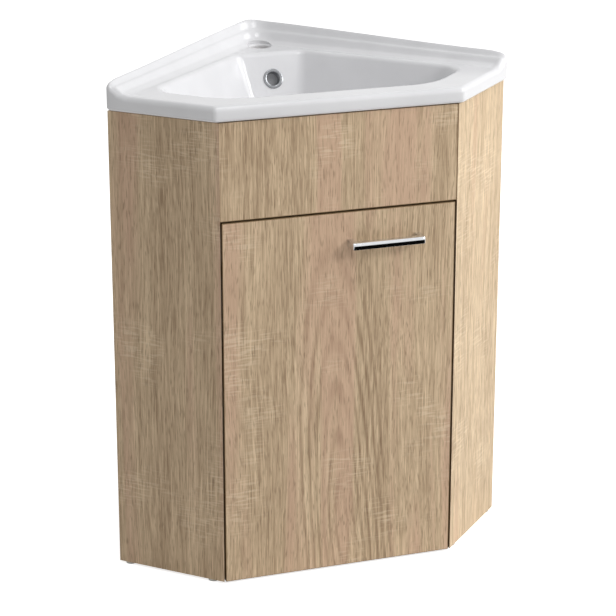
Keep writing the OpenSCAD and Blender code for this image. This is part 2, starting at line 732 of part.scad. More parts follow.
cup_x = -half_w + door_gap + cup_rim + cup_r;
cup_screw_z = 24;           // half the spacing of the flange's screws
cup_screw_back = 4;         // how far those screws lie behind the cup's middle
cup_screw_r = 1.75;
cup_screw_l = 12;
handle_x = half_w - door_gap - handle_in - handle_l / 2;
handle_z = door_top - handle_down;
handle_screw_x = handle_l / 2 - leg_w / 2;
handle_head_h = 2.2;

module at_cups() translate([cup_x, 0, 0]) at_hinges() children();
module at_cup_screws() at_cups() for (side = [-1, 1])
    translate([cup_screw_back, door_t + cup_wall, side * cup_screw_z]) children();
module at_handle_screws() for (side = [-1, 1])
    translate([handle_x + side * handle_screw_x, 0, handle_z]) children();

module door_panel() color(wood) in_frame() difference() {
    door_layer(band_t, 0, door_t, door_z + band_t, door_h - 2 * band_t);
    at_cups() translate([0, door_t - cup_depth - fit, 0]) rod_y(cup_r + fit, cup_depth + 1);
    at_cup_screws() translate([0, -cup_screw_l, 0]) rod_y(cup_screw_r + snug, cup_screw_l);
    at_handle_screws() translate([0, -eps, 0]) rod_y(handle_screw_r + snug, door_t + 2 * eps);
}
module door_edge_bands() color(wood) in_frame() difference() {
    door_layer(0, 0, door_t, door_z, door_h);
    door_layer(band_t, -1, door_t + 1, door_z + band_t, door_h - 2 * band_t);
}

handle_round = 4;
// The handle seen from above, with round outer corners
module handle_plan() difference() {
    end_x = handle_l / 2 - handle_round;
    union() {
        for (side = [-1, 1]) translate([side * end_x, -handle_out + handle_round]) circle(r = handle_round);
        translate([-end_x, -handle_out]) square([2 * end_x, handle_d]);
        translate([-handle_l / 2, -handle_out + handle_round]) square([handle_l, handle_out - handle_round]);
    }
    translate([-handle_l / 2 + leg_w, -handle_out + handle_d])
        square([handle_l - 2 * leg_w, handle_out]);
}
handle_thread_l = 15;
// The handle seen from its end: its upper front edge is well rounded, its lower one eased
module handle_side() {
    nose = min(handle_nose, 0.46 * handle_h);
    translate([-handle_out + nose, handle_h / 2 - nose]) circle(r = nose);
    translate([-handle_out + handle_foot, -handle_h / 2 + handle_foot]) circle(r = handle_foot);
    translate([-handle_out, -handle_h / 2 + handle_foot]) square([nose, handle_h - nose - handle_foot]);
    translate([-handle_out + handle_foot, -handle_h / 2]) square([nose - handle_foot, handle_h - nose]);
    translate([-handle_out + nose, -handle_h / 2]) square([handle_out, handle_h]);
}
module handle() color("#d9dcdf") in_frame() difference() {
    intersection() {
        translate([handle_x, 0, handle_z - handle_h / 2 - 1]) linear_extrude(handle_h + 2) handle_plan();
        translate([handle_x - handle_l / 2 - 1, 0, handle_z]) rotate([90, 0, 90])
            linear_extrude(handle_l + 2) handle_side();
    }
    at_handle_screws() translate([0, -handle_thread_l - fit, 0])
        rod_y(handle_screw_r + snug, handle_thread_l + 1);
}
module handle_screws() color("silver") in_frame() at_handle_screws() {
    translate([0, -handle_thread_l, 0]) rod_y(handle_screw_r, handle_thread_l + door_t);
    translate([0, door_t, 0]) rod_y(2 * handle_screw_r, handle_head_h);
}

bumper_x = half_w - door_gap - bumper_in;
bumper_z = [door_z + board_t / 2, door_top - (stop_lap - door_gap) / 2];
module door_bumpers() color("#e8e8e4") in_frame() for (z = bumper_z)
    translate([bumper_x, door_t, z]) rod_y(bumper_r, bumper_t);

// A hinge cup: pressed cup, flange with two wings, and two ears round pivot b
flange_r = cup_r + 2.5;
flange_half = cup_screw_z + 5;
wing_w = 10;
module hinge_cups() color("silver") in_frame() at_hinges() difference() {
    union() {
        translate([cup_x, door_t - cup_depth, 0]) rod_y(cup_r, cup_depth + cup_wall);
        translate([cup_x, door_t, 0]) rod_y(flange_r, cup_wall);
        translate([cup_x + cup_screw_back - wing_w / 2, door_t, -flange_half])
            cube([wing_w, cup_wall, 2 * flange_half]);
        for (side = [0, 1]) mirror([0, 0, side]) translate([-half_w + b_pos.x, 0, ear_z]) {
            translate([0, b_pos.y, 0]) cylinder(r = ear_r, h = ear_t);
            translate([-ear_r, door_t, 0]) cube([2 * ear_r, cup_pivot.y, ear_t]);
        }
    }
    translate([cup_x, door_t - cup_depth + cup_wall, 0]) rod_y(cup_r - cup_wall, cup_depth + 1);
    translate([-half_w + b_pos.x, b_pos.y, -2 * ear_z]) cylinder(r = pin_r + snug, h = 4 * ear_z);
    for (side = [-1, 1]) translate([cup_x + cup_screw_back, door_t - eps, side * cup_screw_z])
        rod_y(cup_screw_r + snug, cup_wall + 2 * eps);
}
module hinge_cup_screws() color("gray") in_frame() at_cup_screws() {
    translate([0, -cup_screw_l, 0]) rod_y(cup_screw_r, cup_screw_l);
    rod_y(2 * cup_screw_r, 1.6);
}
module hinge_cup_pins() color("silver") in_frame() at_hinges()
    translate([-half_w + b_pos.x, b_pos.y, -ear_z - ear_t]) cylinder(r = pin_r, h = 2 * (ear_z + ear_t));

left_side_panel();
right_side_panel();
base_panel();
fascia_panel();
fascia_edge_band();
front_rail();
upper_left_rail();
upper_right_rail();
lower_left_rail();
lower_right_rail();
corner_post();
shelf();
shelf_edge_band();
shelf_pins();
corner_bracket();
corner_bracket_screws();
basin();
overflow_ring();
cam_bolts();
cam_housings();
rail_dowels();
post_screw();
fascia_screws();
glides();
hinge_plates();
hinge_plate_screws();
hinge_arms();
hinge_arm_pins();
hinge_inner_links();
door_panel();
door_edge_bands();
handle();
handle_screws();
door_bumpers();
hinge_cups();
hinge_cup_screws();
hinge_cup_pins();
hinge_outer_links();
hinge_elbow_pins();
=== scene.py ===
import math

import bmesh
import bpy
from bpy.props import FloatProperty, FloatVectorProperty, PointerProperty
from mathutils import Matrix, Vector


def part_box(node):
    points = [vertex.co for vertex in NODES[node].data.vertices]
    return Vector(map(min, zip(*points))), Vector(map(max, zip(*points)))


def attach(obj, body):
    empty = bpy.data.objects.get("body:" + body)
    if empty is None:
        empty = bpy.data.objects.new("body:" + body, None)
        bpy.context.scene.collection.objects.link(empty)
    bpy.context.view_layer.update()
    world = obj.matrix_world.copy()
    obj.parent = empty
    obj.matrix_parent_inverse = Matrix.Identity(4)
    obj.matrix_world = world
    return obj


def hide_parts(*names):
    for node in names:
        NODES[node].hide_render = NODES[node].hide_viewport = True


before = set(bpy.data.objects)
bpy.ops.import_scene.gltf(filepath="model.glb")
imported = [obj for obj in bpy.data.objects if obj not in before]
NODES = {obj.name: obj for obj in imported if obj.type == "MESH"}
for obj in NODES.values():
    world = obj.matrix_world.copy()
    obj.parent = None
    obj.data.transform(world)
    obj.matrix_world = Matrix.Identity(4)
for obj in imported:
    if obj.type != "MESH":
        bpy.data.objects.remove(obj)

bl_info = {
    "name": "Corner vanity unit",
    "version": (1, 0, 0),
    "blender": (4, 5, 0),
    "location": "3D View > Sidebar > Vanity",
    "description": "Dresses a packed corner vanity unit: glazed basin, oak boards, chrome and hinges",
    "category": "Object",
}

MM = 0.001
ROOT2 = math.sqrt(2)

# The two kinds of node that are used most
MATH = "ShaderNodeMath"
MAP_RANGE = "ShaderNodeMapRange"

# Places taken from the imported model, in metres
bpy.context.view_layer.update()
FRONT_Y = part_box("fascia_panel")[0].y
HALF_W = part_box("fascia_panel")[1].x
BOARD_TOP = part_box("left_side_panel")[1].z
# How far the wall corner lies behind the cabinet's front
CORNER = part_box("basin")[1].y - FRONT_Y

# The bowl's rim, drawn in from the cabinet's front, its side returns, the walls and the wall corner
BOWL_FRONT = 46 * MM
BOWL_SIDE = 52 * MM
BOWL_WALL = 50 * MM
BOWL_CORNER = 128 * MM
# The bowl's wall: its angle from the level, and how far it comes forward for each unit of depth
WALL_LEAN = math.radians(68.2)
WALL_SLOPE = 0.4
# How far the floor's edge is drawn in from the rim, and how far the floor falls to the waste
FLOOR_DRAW = 73 * MM
FLOOR_FALL = 3 * MM
WASTE = Vector((0, 205 * MM))
# Radius of the hollow that takes the waste's flange, in millimetres as the sections round the waste
WASTE_SEAT = 33.6
# The overflow's centre, below the deck, and the tap hole's, in front of the wall corner
OVERFLOW_DROP = 42 * MM
TAP_CORNER = 72 * MM
# Radii of a level's six corners: front left, front right, right end, wall corner (two), left end
RIM_RADII = (105 * MM, 105 * MM, 48 * MM, 24 * MM, 24 * MM, 48 * MM)
FLOOR_RADII = (26 * MM, 26 * MM, 17 * MM, 20 * MM, 20 * MM, 17 * MM)
OUTER_RADII = (11 * MM, 11 * MM, 9 * MM, 13.5 * MM, 13.5 * MM, 9 * MM)
INNER_RADII = (16 * MM, 16 * MM, 8 * MM, 19 * MM, 19 * MM, 8 * MM)
# Where the wide cove at the upstand's foot has run out into the deck
DECK_INSET = 40 * MM
# Thickness of the china at the deck and at the bowl
DECK_THICK = 12 * MM
SHELL = 9 * MM

# Lamps: name, place, width of the disc in metres, and watts
LAMPS = (
    ("side_lamp", (3.22, -0.64, 2.74), 3.0, 69),
    ("front_lamp", (2.09, -2.37, 2.25), 0.9, 35.5),
    ("upper_lamp", (0.33, -1.29, 3.51), 1.2, 16),
)
LAMP_TARGET = (0, -0.05, 0.45)
CAMERA_PLACE = (-1.186, -3.221 + FRONT_Y, 1.597)
CAMERA_YAW = math.radians(19.35)
CAMERA_PITCH = math.radians(18.38)
CAMERA_LENS = 131.4
CAMERA_SENSOR = 36
# Floor and room are white where they are seen: what each gives there, and the room's even light
FLOOR_SEEN = 0.75
FLOOR_MIRRORED = 0.25
ROOM_LIGHT = 0.40
ROOM_SEEN = 0.60


# ---- Mesh helpers ----

def smooth(low, high, x):
    """Eased step from 0 at low to 1 at high."""
    t = min(max((x - low) / (high - low), 0.0), 1.0)
    return t * t * (3 - 2 * t)


def mix_list(a, b, share):
    """Two lists of numbers mixed: a at share 0, b at share 1."""
    return [p + (q - p) * share for p, q in zip(a, b)]


def rounded(radius, turn):
    """How far a rounded edge has gone along and across after a turn."""
    return radius * math.sin(turn), radius * (1 - math.cos(turn))


def link_object(name, data):
    """A new object in the scene."""
    thing = bpy.data.objects.new(name, data)
    bpy.context.scene.collection.objects.link(thing)
    return thing


def finish_piece(name, mesh, material, body, replaced=()):
    """Links a finished mesh as a piece that rides on a body."""
    mesh.name = name
    mesh.materials.clear()
    mesh.materials.append(material)
    piece = link_object(name, mesh)
    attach(piece, body)
    if replaced:
        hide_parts(*replaced)


def soften(mesh, sharp_angle):
    """Shades a mesh smooth, but for edges sharper than an angle in degrees."""
    mesh.shade_smooth()
    mesh.set_sharp_from_angle(angle=math.radians(sharp_angle))
    return mesh


def tidy_mesh(mesh, sharp_angle, close_ends=False):
    """Merges doubles, closes open ends, points the faces outwards and softens all but sharp edges."""
    work = bmesh.new()
    work.from_mesh(mesh)
    bmesh.ops.remove_doubles(work, verts=work.verts, dist=1e-6)
    bmesh.ops.dissolve_degenerate(work, edges=work.edges, dist=1e-6)
    if close_ends:
        bmesh.ops.holes_fill(work, edges=work.edges)
    bmesh.ops.recalc_face_normals(work, faces=work.faces)
    work.to_mesh(mesh)
    work.free()
    return soften(mesh, sharp_angle)


def loops_to_mesh(name, loops, sharp_angle=40, ring=True):
    """A quad skin over loops of equal length: a ring joins the last to the first, a rod gets end faces."""
    count = len(loops[0])
    verts = [point for loop in loops for point in loop]
    faces = []
    for i in range(len(loops) if ring else len(loops) - 1):
        a, b = i * count, (i + 1) % len(loops) * count
        for j in range(count):
            k = (j + 1) % count
            faces.append((a + j, a + k, b + k, b + j))
    mesh = bpy.data.meshes.new(name)
    mesh.from_pydata(verts, [], faces)
    return tidy_mesh(mesh, sharp_angle, close_ends=not ring)


def lathe(profile, place, segments=48):
    """Loops of points for a closed profile of (radius, height), turned about place's Z."""
    turns = [2 * math.pi * i / segments for i in range(segments)]
    return [[place @ Vector((radius * math.cos(turn), radius * math.sin(turn), height)) for turn in turns]
            for radius, height in profile]


def arc(centre, radius, start, end, steps):
    """Points of an arc in a profile, angles in degrees."""
    points = []
    for i in range(steps + 1):
        turn = math.radians(start + (end - start) * i / steps)
        points.append((centre[0] + radius * math.cos(turn), centre[1] + radius * math.sin(turn)))
    return points


def with_modifier(mesh, kind, **settings):
    """A new mesh with one modifier applied."""
    holder = link_object("work", mesh)
    modifier = holder.modifiers.new(kind, kind)
    for key, value in settings.items():
        setattr(modifier, key, value)
    bpy.context.view_layer.update()
    graph = bpy.context.evaluated_depsgraph_get()
    result = bpy.data.meshes.new_from_object(holder.evaluated_get(graph))
    bpy.data.objects.remove(holder)
    return result


def cut_with(mesh, cutter_mesh):
    """The mesh with the cutter's shape taken out of it."""
    cutter = link_object("cutter", cutter_mesh)
    result = with_modifier(mesh, "BOOLEAN", operation="DIFFERENCE", solver="EXACT", object=cutter)
    bpy.data.objects.remove(cutter)
    return result


# ---- Node and material helpers ----

def linear(code):
    """Linear colour from an sRGB hex value."""
    channels = []
    for i in (0, 2, 4):
        value = int(code[i:i + 2], 16) / 255
        channels.append(value / 12.92 if value <= 0.04045 else ((value + 0.055) / 1.055) ** 2.4)
    return (*channels, 1.0)


def from_hex(*codes):
    """Colours that belong to a finish, from their hex values."""
    return [linear(code) for code in codes]


def chosen(*names):
    """Colours that a user can change, from the panel."""
    return [(*getattr(bpy.context.scene.vanity_colours, name), 1.0) for name in names]


def add(tree, kind, *values, out=0, **settings):
    """Adds a node with its settings, values and links, and returns one of its outputs.

    Each value goes to the input in its place. A dict names its inputs, and a list in it links several
    sockets to one input. A node without outputs is returned itself.
    """
    new = tree.nodes.new(kind)
    for key, value in settings.items():
        setattr(new, key, value)
    inputs = {}
    for i, value in enumerate(values):
        inputs.update(value if isinstance(value, dict) else {i: value})
    for key, value in inputs.items():
        for source in value if isinstance(value, list) else [value]:
            if isinstance(source, bpy.types.NodeSocket):
                tree.links.new(source, new.inputs[key])
            else:
                new.inputs[key].default_value = source
    return new.outputs[out] if len(new.outputs) else new


def shader(name, **values):
    """A new material, its tree and its shader, with values on the shader's own sockets."""
    material = bpy.data.materials.new(name)
    material.use_nodes = True
    principled = material.node_tree.nodes["Principled BSDF"]
    for key, value in values.items():
        principled.inputs[key.replace("_", " ")].default_value = value
    return material, material.node_tree, principled


def dress(tree, principled, colour, rough=None, relief=None):
    """Links a colour, a roughness and a relief of (height, strength, depth) to a shader."""
    tree.links.new(colour, principled.inputs["Base Color"])
    if rough:
        tree.links.new(rough, principled.inputs["Roughness"])
    if relief:
        height, strength, depth = relief
        bump = add(tree, "ShaderNodeBump", {"Strength": strength, "Distance": depth, "Height": height})
        tree.links.new(bump, principled.inputs["Normal"])


def speckle(tree, scale, detail, rough=0.5, place=None, out=0):
    """Noise with its repeats per metre along X, Y and Z of the object, or of another place."""
    place = place or add(tree, "ShaderNodeTexCoord", out="Object")
    scaled = add(tree, "ShaderNodeVectorMath", place, scale, operation="MULTIPLY")
    return add(tree, "ShaderNodeTexNoise",
               {"Vector": scaled, "Scale": 1.0, "Detail": detail, "Roughness": rough}, out=out)


def two_tone(tree, pattern, tones, low=0.3, high=0.7):
    """Two colours mixed by a pattern."""
    share = add(tree, MAP_RANGE, pattern, low, high)
    return add(tree, "ShaderNodeMix", {0: share, 6: tones[0], 7: tones[1]}, data_type="RGBA", out=2)


# ---- Materials ----

# Colours of a laminate: dark and light grain, pinkish band, saw mark, pore
OAK = ("oak_dark", "oak_light", "oak_pink", "oak_sawn", "oak_pore")
# The right board's copy of the print is paler: painted light from the side lamp, not another oak
LIT_OAK_PAINTED = ("lit_oak_dark", "lit_oak_light", "lit_oak_pink", "lit_oak_sawn", "lit_oak_pore")


def oak_laminate(name, names, turn=0.0, shift=(0, 0, 0), figure=None, level=False, gap_shade_band=None):
    """Melamine-faced board printed as light sawn oak: matt, with upright grain and cross saw marks.

    To the eye it is a warm beige with fine dark pores, broad pinkish and yellowish bands, and patches
    of pale saw marks that run across the grain. A level board has its grain along X. A figure places
    growth rings, and a gap shade band, as (x, thickness), paints the shade of the gap beside the
    board's end there as a dark strip.
    """
    material, tree, principled = shader(name, Roughness=0.52, Specular_IOR_Level=0.35)
    dark, light, pink, sawn, pore = chosen(*names)
    place = add(tree, "ShaderNodeTexCoord", out="Object")
    # The board's face is turned to look along Y
    board = add(tree, "ShaderNodeMapping", {"Vector": place, "Location": shift, "Rotation": (0, 0, turn)})

    def pattern(where, across, along, detail, rough=0.5, out=0):
        """Noise drawn out along the grain, in repeats per metre."""
        scale = (along, across, across) if level else (across, across, along)
        return speckle(tree, scale, detail, rough, where, out)

    # The grain wanders sideways by up to 10 mm over 300 mm
    sway = (0, 0.03, 0.03) if level else (0.03, 0.03, 0)
    bent = add(tree, "ShaderNodeVectorMath", pattern(board, 7, 2.2, 1.0, out="Color"), sway, board,
               operation="MULTIPLY_ADD")
    # Real pores of 0.3 mm are drawn 2 mm wide so that they show at arm's length
    bands = pattern(bent, 17, 0.8, 2.0)
    streaks = pattern(bent, 110, 2.6, 2.0, 0.6)
    fibres = pattern(bent, 470, 13, 2.0, 0.7)
    pores = pattern(bent, 560, 45, 1.0, 0.6)
    tone = -0.05
    for layer, reach, share in ((streaks, 0.20, 0.30), (fibres, 0.18, 0.62), (bands, 0.20, 0.32)):
        even = add(tree, MAP_RANGE, layer, 0.5 - reach, 0.5 + reach)
        tone = add(tree, MATH, even, share, tone, operation="MULTIPLY_ADD")
    if figure:
        arches = growth_rings(tree, bent, pattern(board, 24, 2.5, 2.0), *figure)
        tone = add(tree, MATH, arches, -0.30, tone, operation="MULTIPLY_ADD")
    # Saw marks every 3 mm, 30 mm long, in patches of about 110 mm
    marks = add(tree, MAP_RANGE, pattern(board, 30, 300, 1.0), 0.50, 0.62)
    patches = add(tree, MAP_RANGE, pattern(board, 9, 9, 1.0), 0.54, 0.68, 0.0, 0.42)
    layers = [
        (tone, light),
        (add(tree, MAP_RANGE, bands, 0.50, 0.60, 0.0, 0.58), pink),
        (add(tree, MATH, marks, patches, operation="MULTIPLY"), sawn),
        (add(tree, MAP_RANGE, pores, 0.56, 0.72, 0.0, 0.55), pore),
    ]
    if gap_shade_band:
        # Painted shade of the gap beside the board's end: a dark strip in the bands' colour, fading out over
        # 0.2 mm
        edge, thick = gap_shade_band
        x = add(tree, "ShaderNodeSeparateXYZ", place)
        from_end = add(tree, MATH, x, edge, operation="SUBTRACT")
        from_end = add(tree, MATH, from_end, operation="ABSOLUTE")
        gap_shade_share = add(tree, MAP_RANGE, from_end, thick, thick + 0.2 * MM, 1.0, 0.0)
        layers += [(gap_shade_share, *chosen("band_painted_shade_dark"))]
    colour = dark
    for share, over in layers:
        colour = add(tree, "ShaderNodeMix", {0: share, 6: colour, 7: over}, data_type="RGBA", out=2)
    rough = add(tree, MAP_RANGE, streaks, 0.3, 0.7, 0.60, 0.46)
    dress(tree, principled, colour, rough, (fibres, 0.25, 0.2 * MM))
    return material


def growth_rings(tree, place, uneven, centre_x, centre_z, squash, lean):
    """Rings of a flat-sawn board: long arches, 12 mm apart, round a centre line that leans."""
    x, _, z = add(tree, "ShaderNodeSeparateXYZ", place).node.outputs
    height = add(tree, MATH, z, -centre_z, operation="ADD")
    side = add(tree, MATH, x, -centre_x, operation="ADD")
    side = add(tree, MATH, height, -lean, side, operation="MULTIPLY_ADD")
    rise = add(tree, MATH, height, squash, operation="MULTIPLY")
    rise = add(tree, MATH, rise, rise, operation="MULTIPLY")
    ring = add(tree, MATH, side, side, rise, operation="MULTIPLY_ADD")
    ring = add(tree, MATH, ring, operation="SQRT")
    # 520 radians per metre, which the slow noise hurries or holds back
    uneven = add(tree, MATH, uneven, 5.0, operation="MULTIPLY")
    wave = add(tree, MATH, ring, 520.0, uneven, operation="MULTIPLY_ADD")
    wave = add(tree, MATH, wave, operation="SINE")
    shown = add(tree, MAP_RANGE, wave, -0.2, 1.0, -0.3, 1.0)
    near = add(tree, MAP_RANGE, ring, 66 * MM, 100 * MM, 1.0, 0.0)
    return add(tree, MATH, shown, near, operation="MULTIPLY")


def grained(name, tones, scale, **values):
    """A plain grained finish, as on edge bands and dowels: two colours mixed along fine streaks."""
    material, tree, principled = shader(name, **values)
    streaks = speckle(tree, scale, 2.0, 0.6)
    dress(tree, principled, two_tone(tree, streaks, tones), relief=(streaks, 0.15, 0.1 * MM))
    return material


def glazed_ceramic(name, tones):
    """Slip-cast vitreous china under a clear glaze: cool white, mirror-like, with a faint slow ripple."""
    material, tree, principled = shader(name, Roughness=0.16, IOR=1.5)
    # Glaze pools over about 60 mm; its ripple is 25 mm long
    pools = speckle(tree, (17, 17, 17), 2.0)
    ripple = speckle(tree, (40, 40, 40), 1.0)
    rough = add(tree, MAP_RANGE, pools, 0.3, 0.7, 0.13, 0.19)
    dress(tree, principled, two_tone(tree, pools, tones, 0.35, 0.65), rough, (ripple, 0.06, 0.6 * MM))
    return material


def plated_metal(name, tones, gloss, scale):
    """Plated metal: its smears or brushing show as slow changes of gloss."""
    material, tree, principled = shader(name, Metallic=1.0, Roughness=gloss[0])
    smears = speckle(tree, scale, 3.0, 0.6)
    rough = add(tree, MAP_RANGE, smears, 0.3, 0.7, *gloss)
    dress(tree, principled, two_tone(tree, smears, tones), rough)
    return material


def moulded_plastic(name, tones, **values):
    """Moulded plastic with a fine spark-eroded texture of about 1 mm and slight mottling."""
    material, tree, principled = shader(name, **values)
    mottle = speckle(tree, (150, 150, 150), 2.0)
    grain = speckle(tree, (1000, 1000, 1000), 1.0)
    dress(tree, principled, two_tone(tree, mottle, tones), relief=(grain, 0.1, 0.1 * MM))
    return material


# ---- Sizes and colours ----

def length(name, description, default):
    """A size, whose default is given in millimetres."""
    return FloatProperty(name=name, description=description, default=default * MM, unit="LENGTH",
                         subtype="DISTANCE")


def tint(name, description, code):
    """A colour, whose default is given in sRGB hex."""
    return FloatVectorProperty(name=name, description=description, default=linear(code)[:3], size=3,
                               subtype="COLOR", min=0, max=1)


class VanitySizes(bpy.types.PropertyGroup):
    """Sizes of the dressed pieces, in metres."""
    apron: length("Apron", "Height of the basin's outer face", 27)
    front_over: length("Front overhang", "Overhang of the basin at the front", 4)
    side_over: length("Side overhang", "Overhang of the basin at the side returns", 8)
    edge_round: length("Edge rounding", "Radius of the basin's upper outer edge", 9)
    end_round: length("End rounding", "Further radius at the ends of the upstand", 7)
    bowl_depth: length("Bowl depth", "Depth of the bowl below the deck", 122)
    rim_round: length("Rim rounding", "Radius of the edge between deck and bowl", 11)
    floor_round: length("Floor rounding", "Radius between the bowl's wall and floor", 36)
    upstand_end: length("Upstand at its ends", "Height of the upstand at its ends", 22)
    upstand_corner: length("Upstand in the corner", "Height of the upstand in the wall corner", 36)
    tap_radius: length("Tap hole", "Radius of the tap hole", 17.5)
    ring_radius: length("Overflow ring", "Outer radius of the overflow ring", 17)
    handle_nose: length("Handle nose", "Radius of the handle's upper front edge", 5.5)
    handle_foot: length("Handle foot", "Radius of the handle's lower front edge", 1.5)
    handle_edge: length("Handle edge", "Radius of the handle's other edges", 0.35)


class VanityColours(bpy.types.PropertyGroup):
    """Colours of the boards, the china, the chrome and the floor."""
    oak_dark: tint("Oak, dark grain", "Front and left boards", "957B5F")
    oak_light: tint("Oak, light grain", "Front and left boards", "E4CBA9")
    oak_pink: tint("Oak, pinkish bands", "Front and left boards", "C6A28A")
    oak_sawn: tint("Oak, saw marks", "Front and left boards", "E6D1B4")
    oak_pore: tint("Oak, pores", "Front and left boards", "7E674D")
    # Paler copy of the oak for the right board: painted light from the side lamp
    lit_oak_dark: tint("Pale oak, dark grain", "Right board", "A3886A")
    lit_oak_light: tint("Pale oak, light grain", "Right board", "F1D9B5")
    lit_oak_pink: tint("Pale oak, pinkish bands", "Right board", "D2B294")
    lit_oak_sawn: tint("Pale oak, saw marks", "Right board", "F4E0C2")
    lit_oak_pore: tint("Pale oak, pores", "Right board", "8D7659")
    # The bands round the door are darkened as painted shade of the gap; their darkest colour also paints
    # that shade on the boards' ends
    band_painted_shade_dark: tint("Edge band, dark", "Dark grain of the bands in the gap round the door", "7A6143")
    band_painted_shade_light: tint("Edge band, light", "Light grain of the bands in the gap round the door", "927853")
    china_dark: tint("China, dark", "China where the glaze is thin", "DFDFE1")
    china_light: tint("China, light", "China where the glaze pools", "E3E3E5")
    chrome_dark: tint("Chrome, dark", "Smears on the handle's chrome", "DDDFE2")
    chrome_light: tint("Chrome, light", "Clean chrome of the handle", "E8EAEC")
    floor: tint("Floor", "Colour of the floor", "F4F4F3")


def sizes():
    """The sizes as they are set in the scene."""
    return bpy.context.scene.vanity_sizes


# ---- Basin ----

def plan_corners(front, side, wall, notch):
    """Corners of a level, drawn in from the cabinet's sides; notch flattens the wall corner."""
    back = (CORNER - HALF_W + (side - wall) * ROOT2) / 2
    top = CORNER - wall * ROOT2
    front_x = HALF_W + front - side * ROOT2
    back_x = HALF_W + back - side * ROOT2
    return [(-front_x, front), (front_x, front), (back_x, back), (notch, top - notch),
            (-notch, top - notch), (-back_x, back)]


def plan_loop(corners, radii, arc_steps=8, side_steps=(30, 14, 36, 8, 36, 14)):
    """Points round a polygon with rounded corners, always the same number."""
    bends = []
    for i, corner in enumerate(corners):
        here = Vector(corner)
        back = (Vector(corners[i - 1]) - here).normalized()
        ahead = (Vector(corners[(i + 1) % 6]) - here).normalized()
        half = back.angle(ahead) / 2
        reach = radii[i] / math.tan(half)
        centre = here + (back + ahead).normalized() * radii[i] / math.sin(half)
        first = here + back * reach - centre
        last = here + ahead * reach - centre
        turn = first.angle_signed(last)
        bend = []
        for step in range(arc_steps + 1):
            spun = first.copy()
            spun.rotate(Matrix.Rotation(-turn * step / arc_steps, 2))
            bend.append(centre + spun)
        bends.append(bend)
    loop = []
    for i, bend in enumerate(bends):
        loop += bend
        ahead = bends[(i + 1) % 6][0]
        for step in range(1, side_steps[i]):
            loop.append(bend[-1].lerp(ahead, step / side_steps[i]))
    return loop


def upstand_share(distance):
    """Cross-section of the upstand: round crown, inner face in two soft steps, then a wide cove."""
    first = 0.42 * smooth(3 * MM, 14 * MM, distance)
    second = 0.40 * smooth(14 * MM, 26 * MM, distance)
    cove = 0.18 * smooth(22 * MM, 39 * MM, distance)
    return 1 - first - second - cove


def end_distance(x, y):
    """Distance of a point from the nearer side edge of the basin, along the wall."""
    return (HALF_W + y - abs(x)) / ROOT2 + sizes().side_over


def basin_top(x, y, inset):
    """Height of the basin's upper side above the deck, with its rounded outer edge."""
    s = sizes()
    left, right = (CORNER + x - y) / ROOT2, (CORNER - x - y) / ROOT2
    # The two upstands meet in a soft hollow
    hollow = 40 * MM
    wall = min(left, right) - max(hollow - abs(left - right), 0.0) ** 2 / hollow / 4
    share = upstand_share(max(wall, 0.0))
    position = (y - abs(x) + CORNER) / 2 / CORNER
    height = s.upstand_end + (s.upstand_corner - s.upstand_end) * smooth(0.25, 1.05, position)
    near_end = 1 - smooth(0.0, 35 * MM, end_distance(x, y))
    radius = s.edge_round * (1 - 0.3 * share) + s.end_round * share * near_end
    lift = height * share
    if inset < radius:
        lift -= radius - math.sqrt(max(radius ** 2 - (radius - inset) ** 2, 0.0))
    return lift


def bowl_plan(draw):
    """Plan of a level that is drawn in from the bowl's rim."""
    notch = BOWL_CORNER - BOWL_WALL * ROOT2 - draw * (ROOT2 - 1)
    return (BOWL_FRONT + draw, BOWL_SIDE + draw, BOWL_WALL + draw, notch)


def outline_plan(inset):
    """Plan of a level that is drawn in from the basin's outline."""
    s = sizes()
    return (-s.front_over + inset, -s.side_over + inset, inset, 5.8 * MM + inset * 0.07)


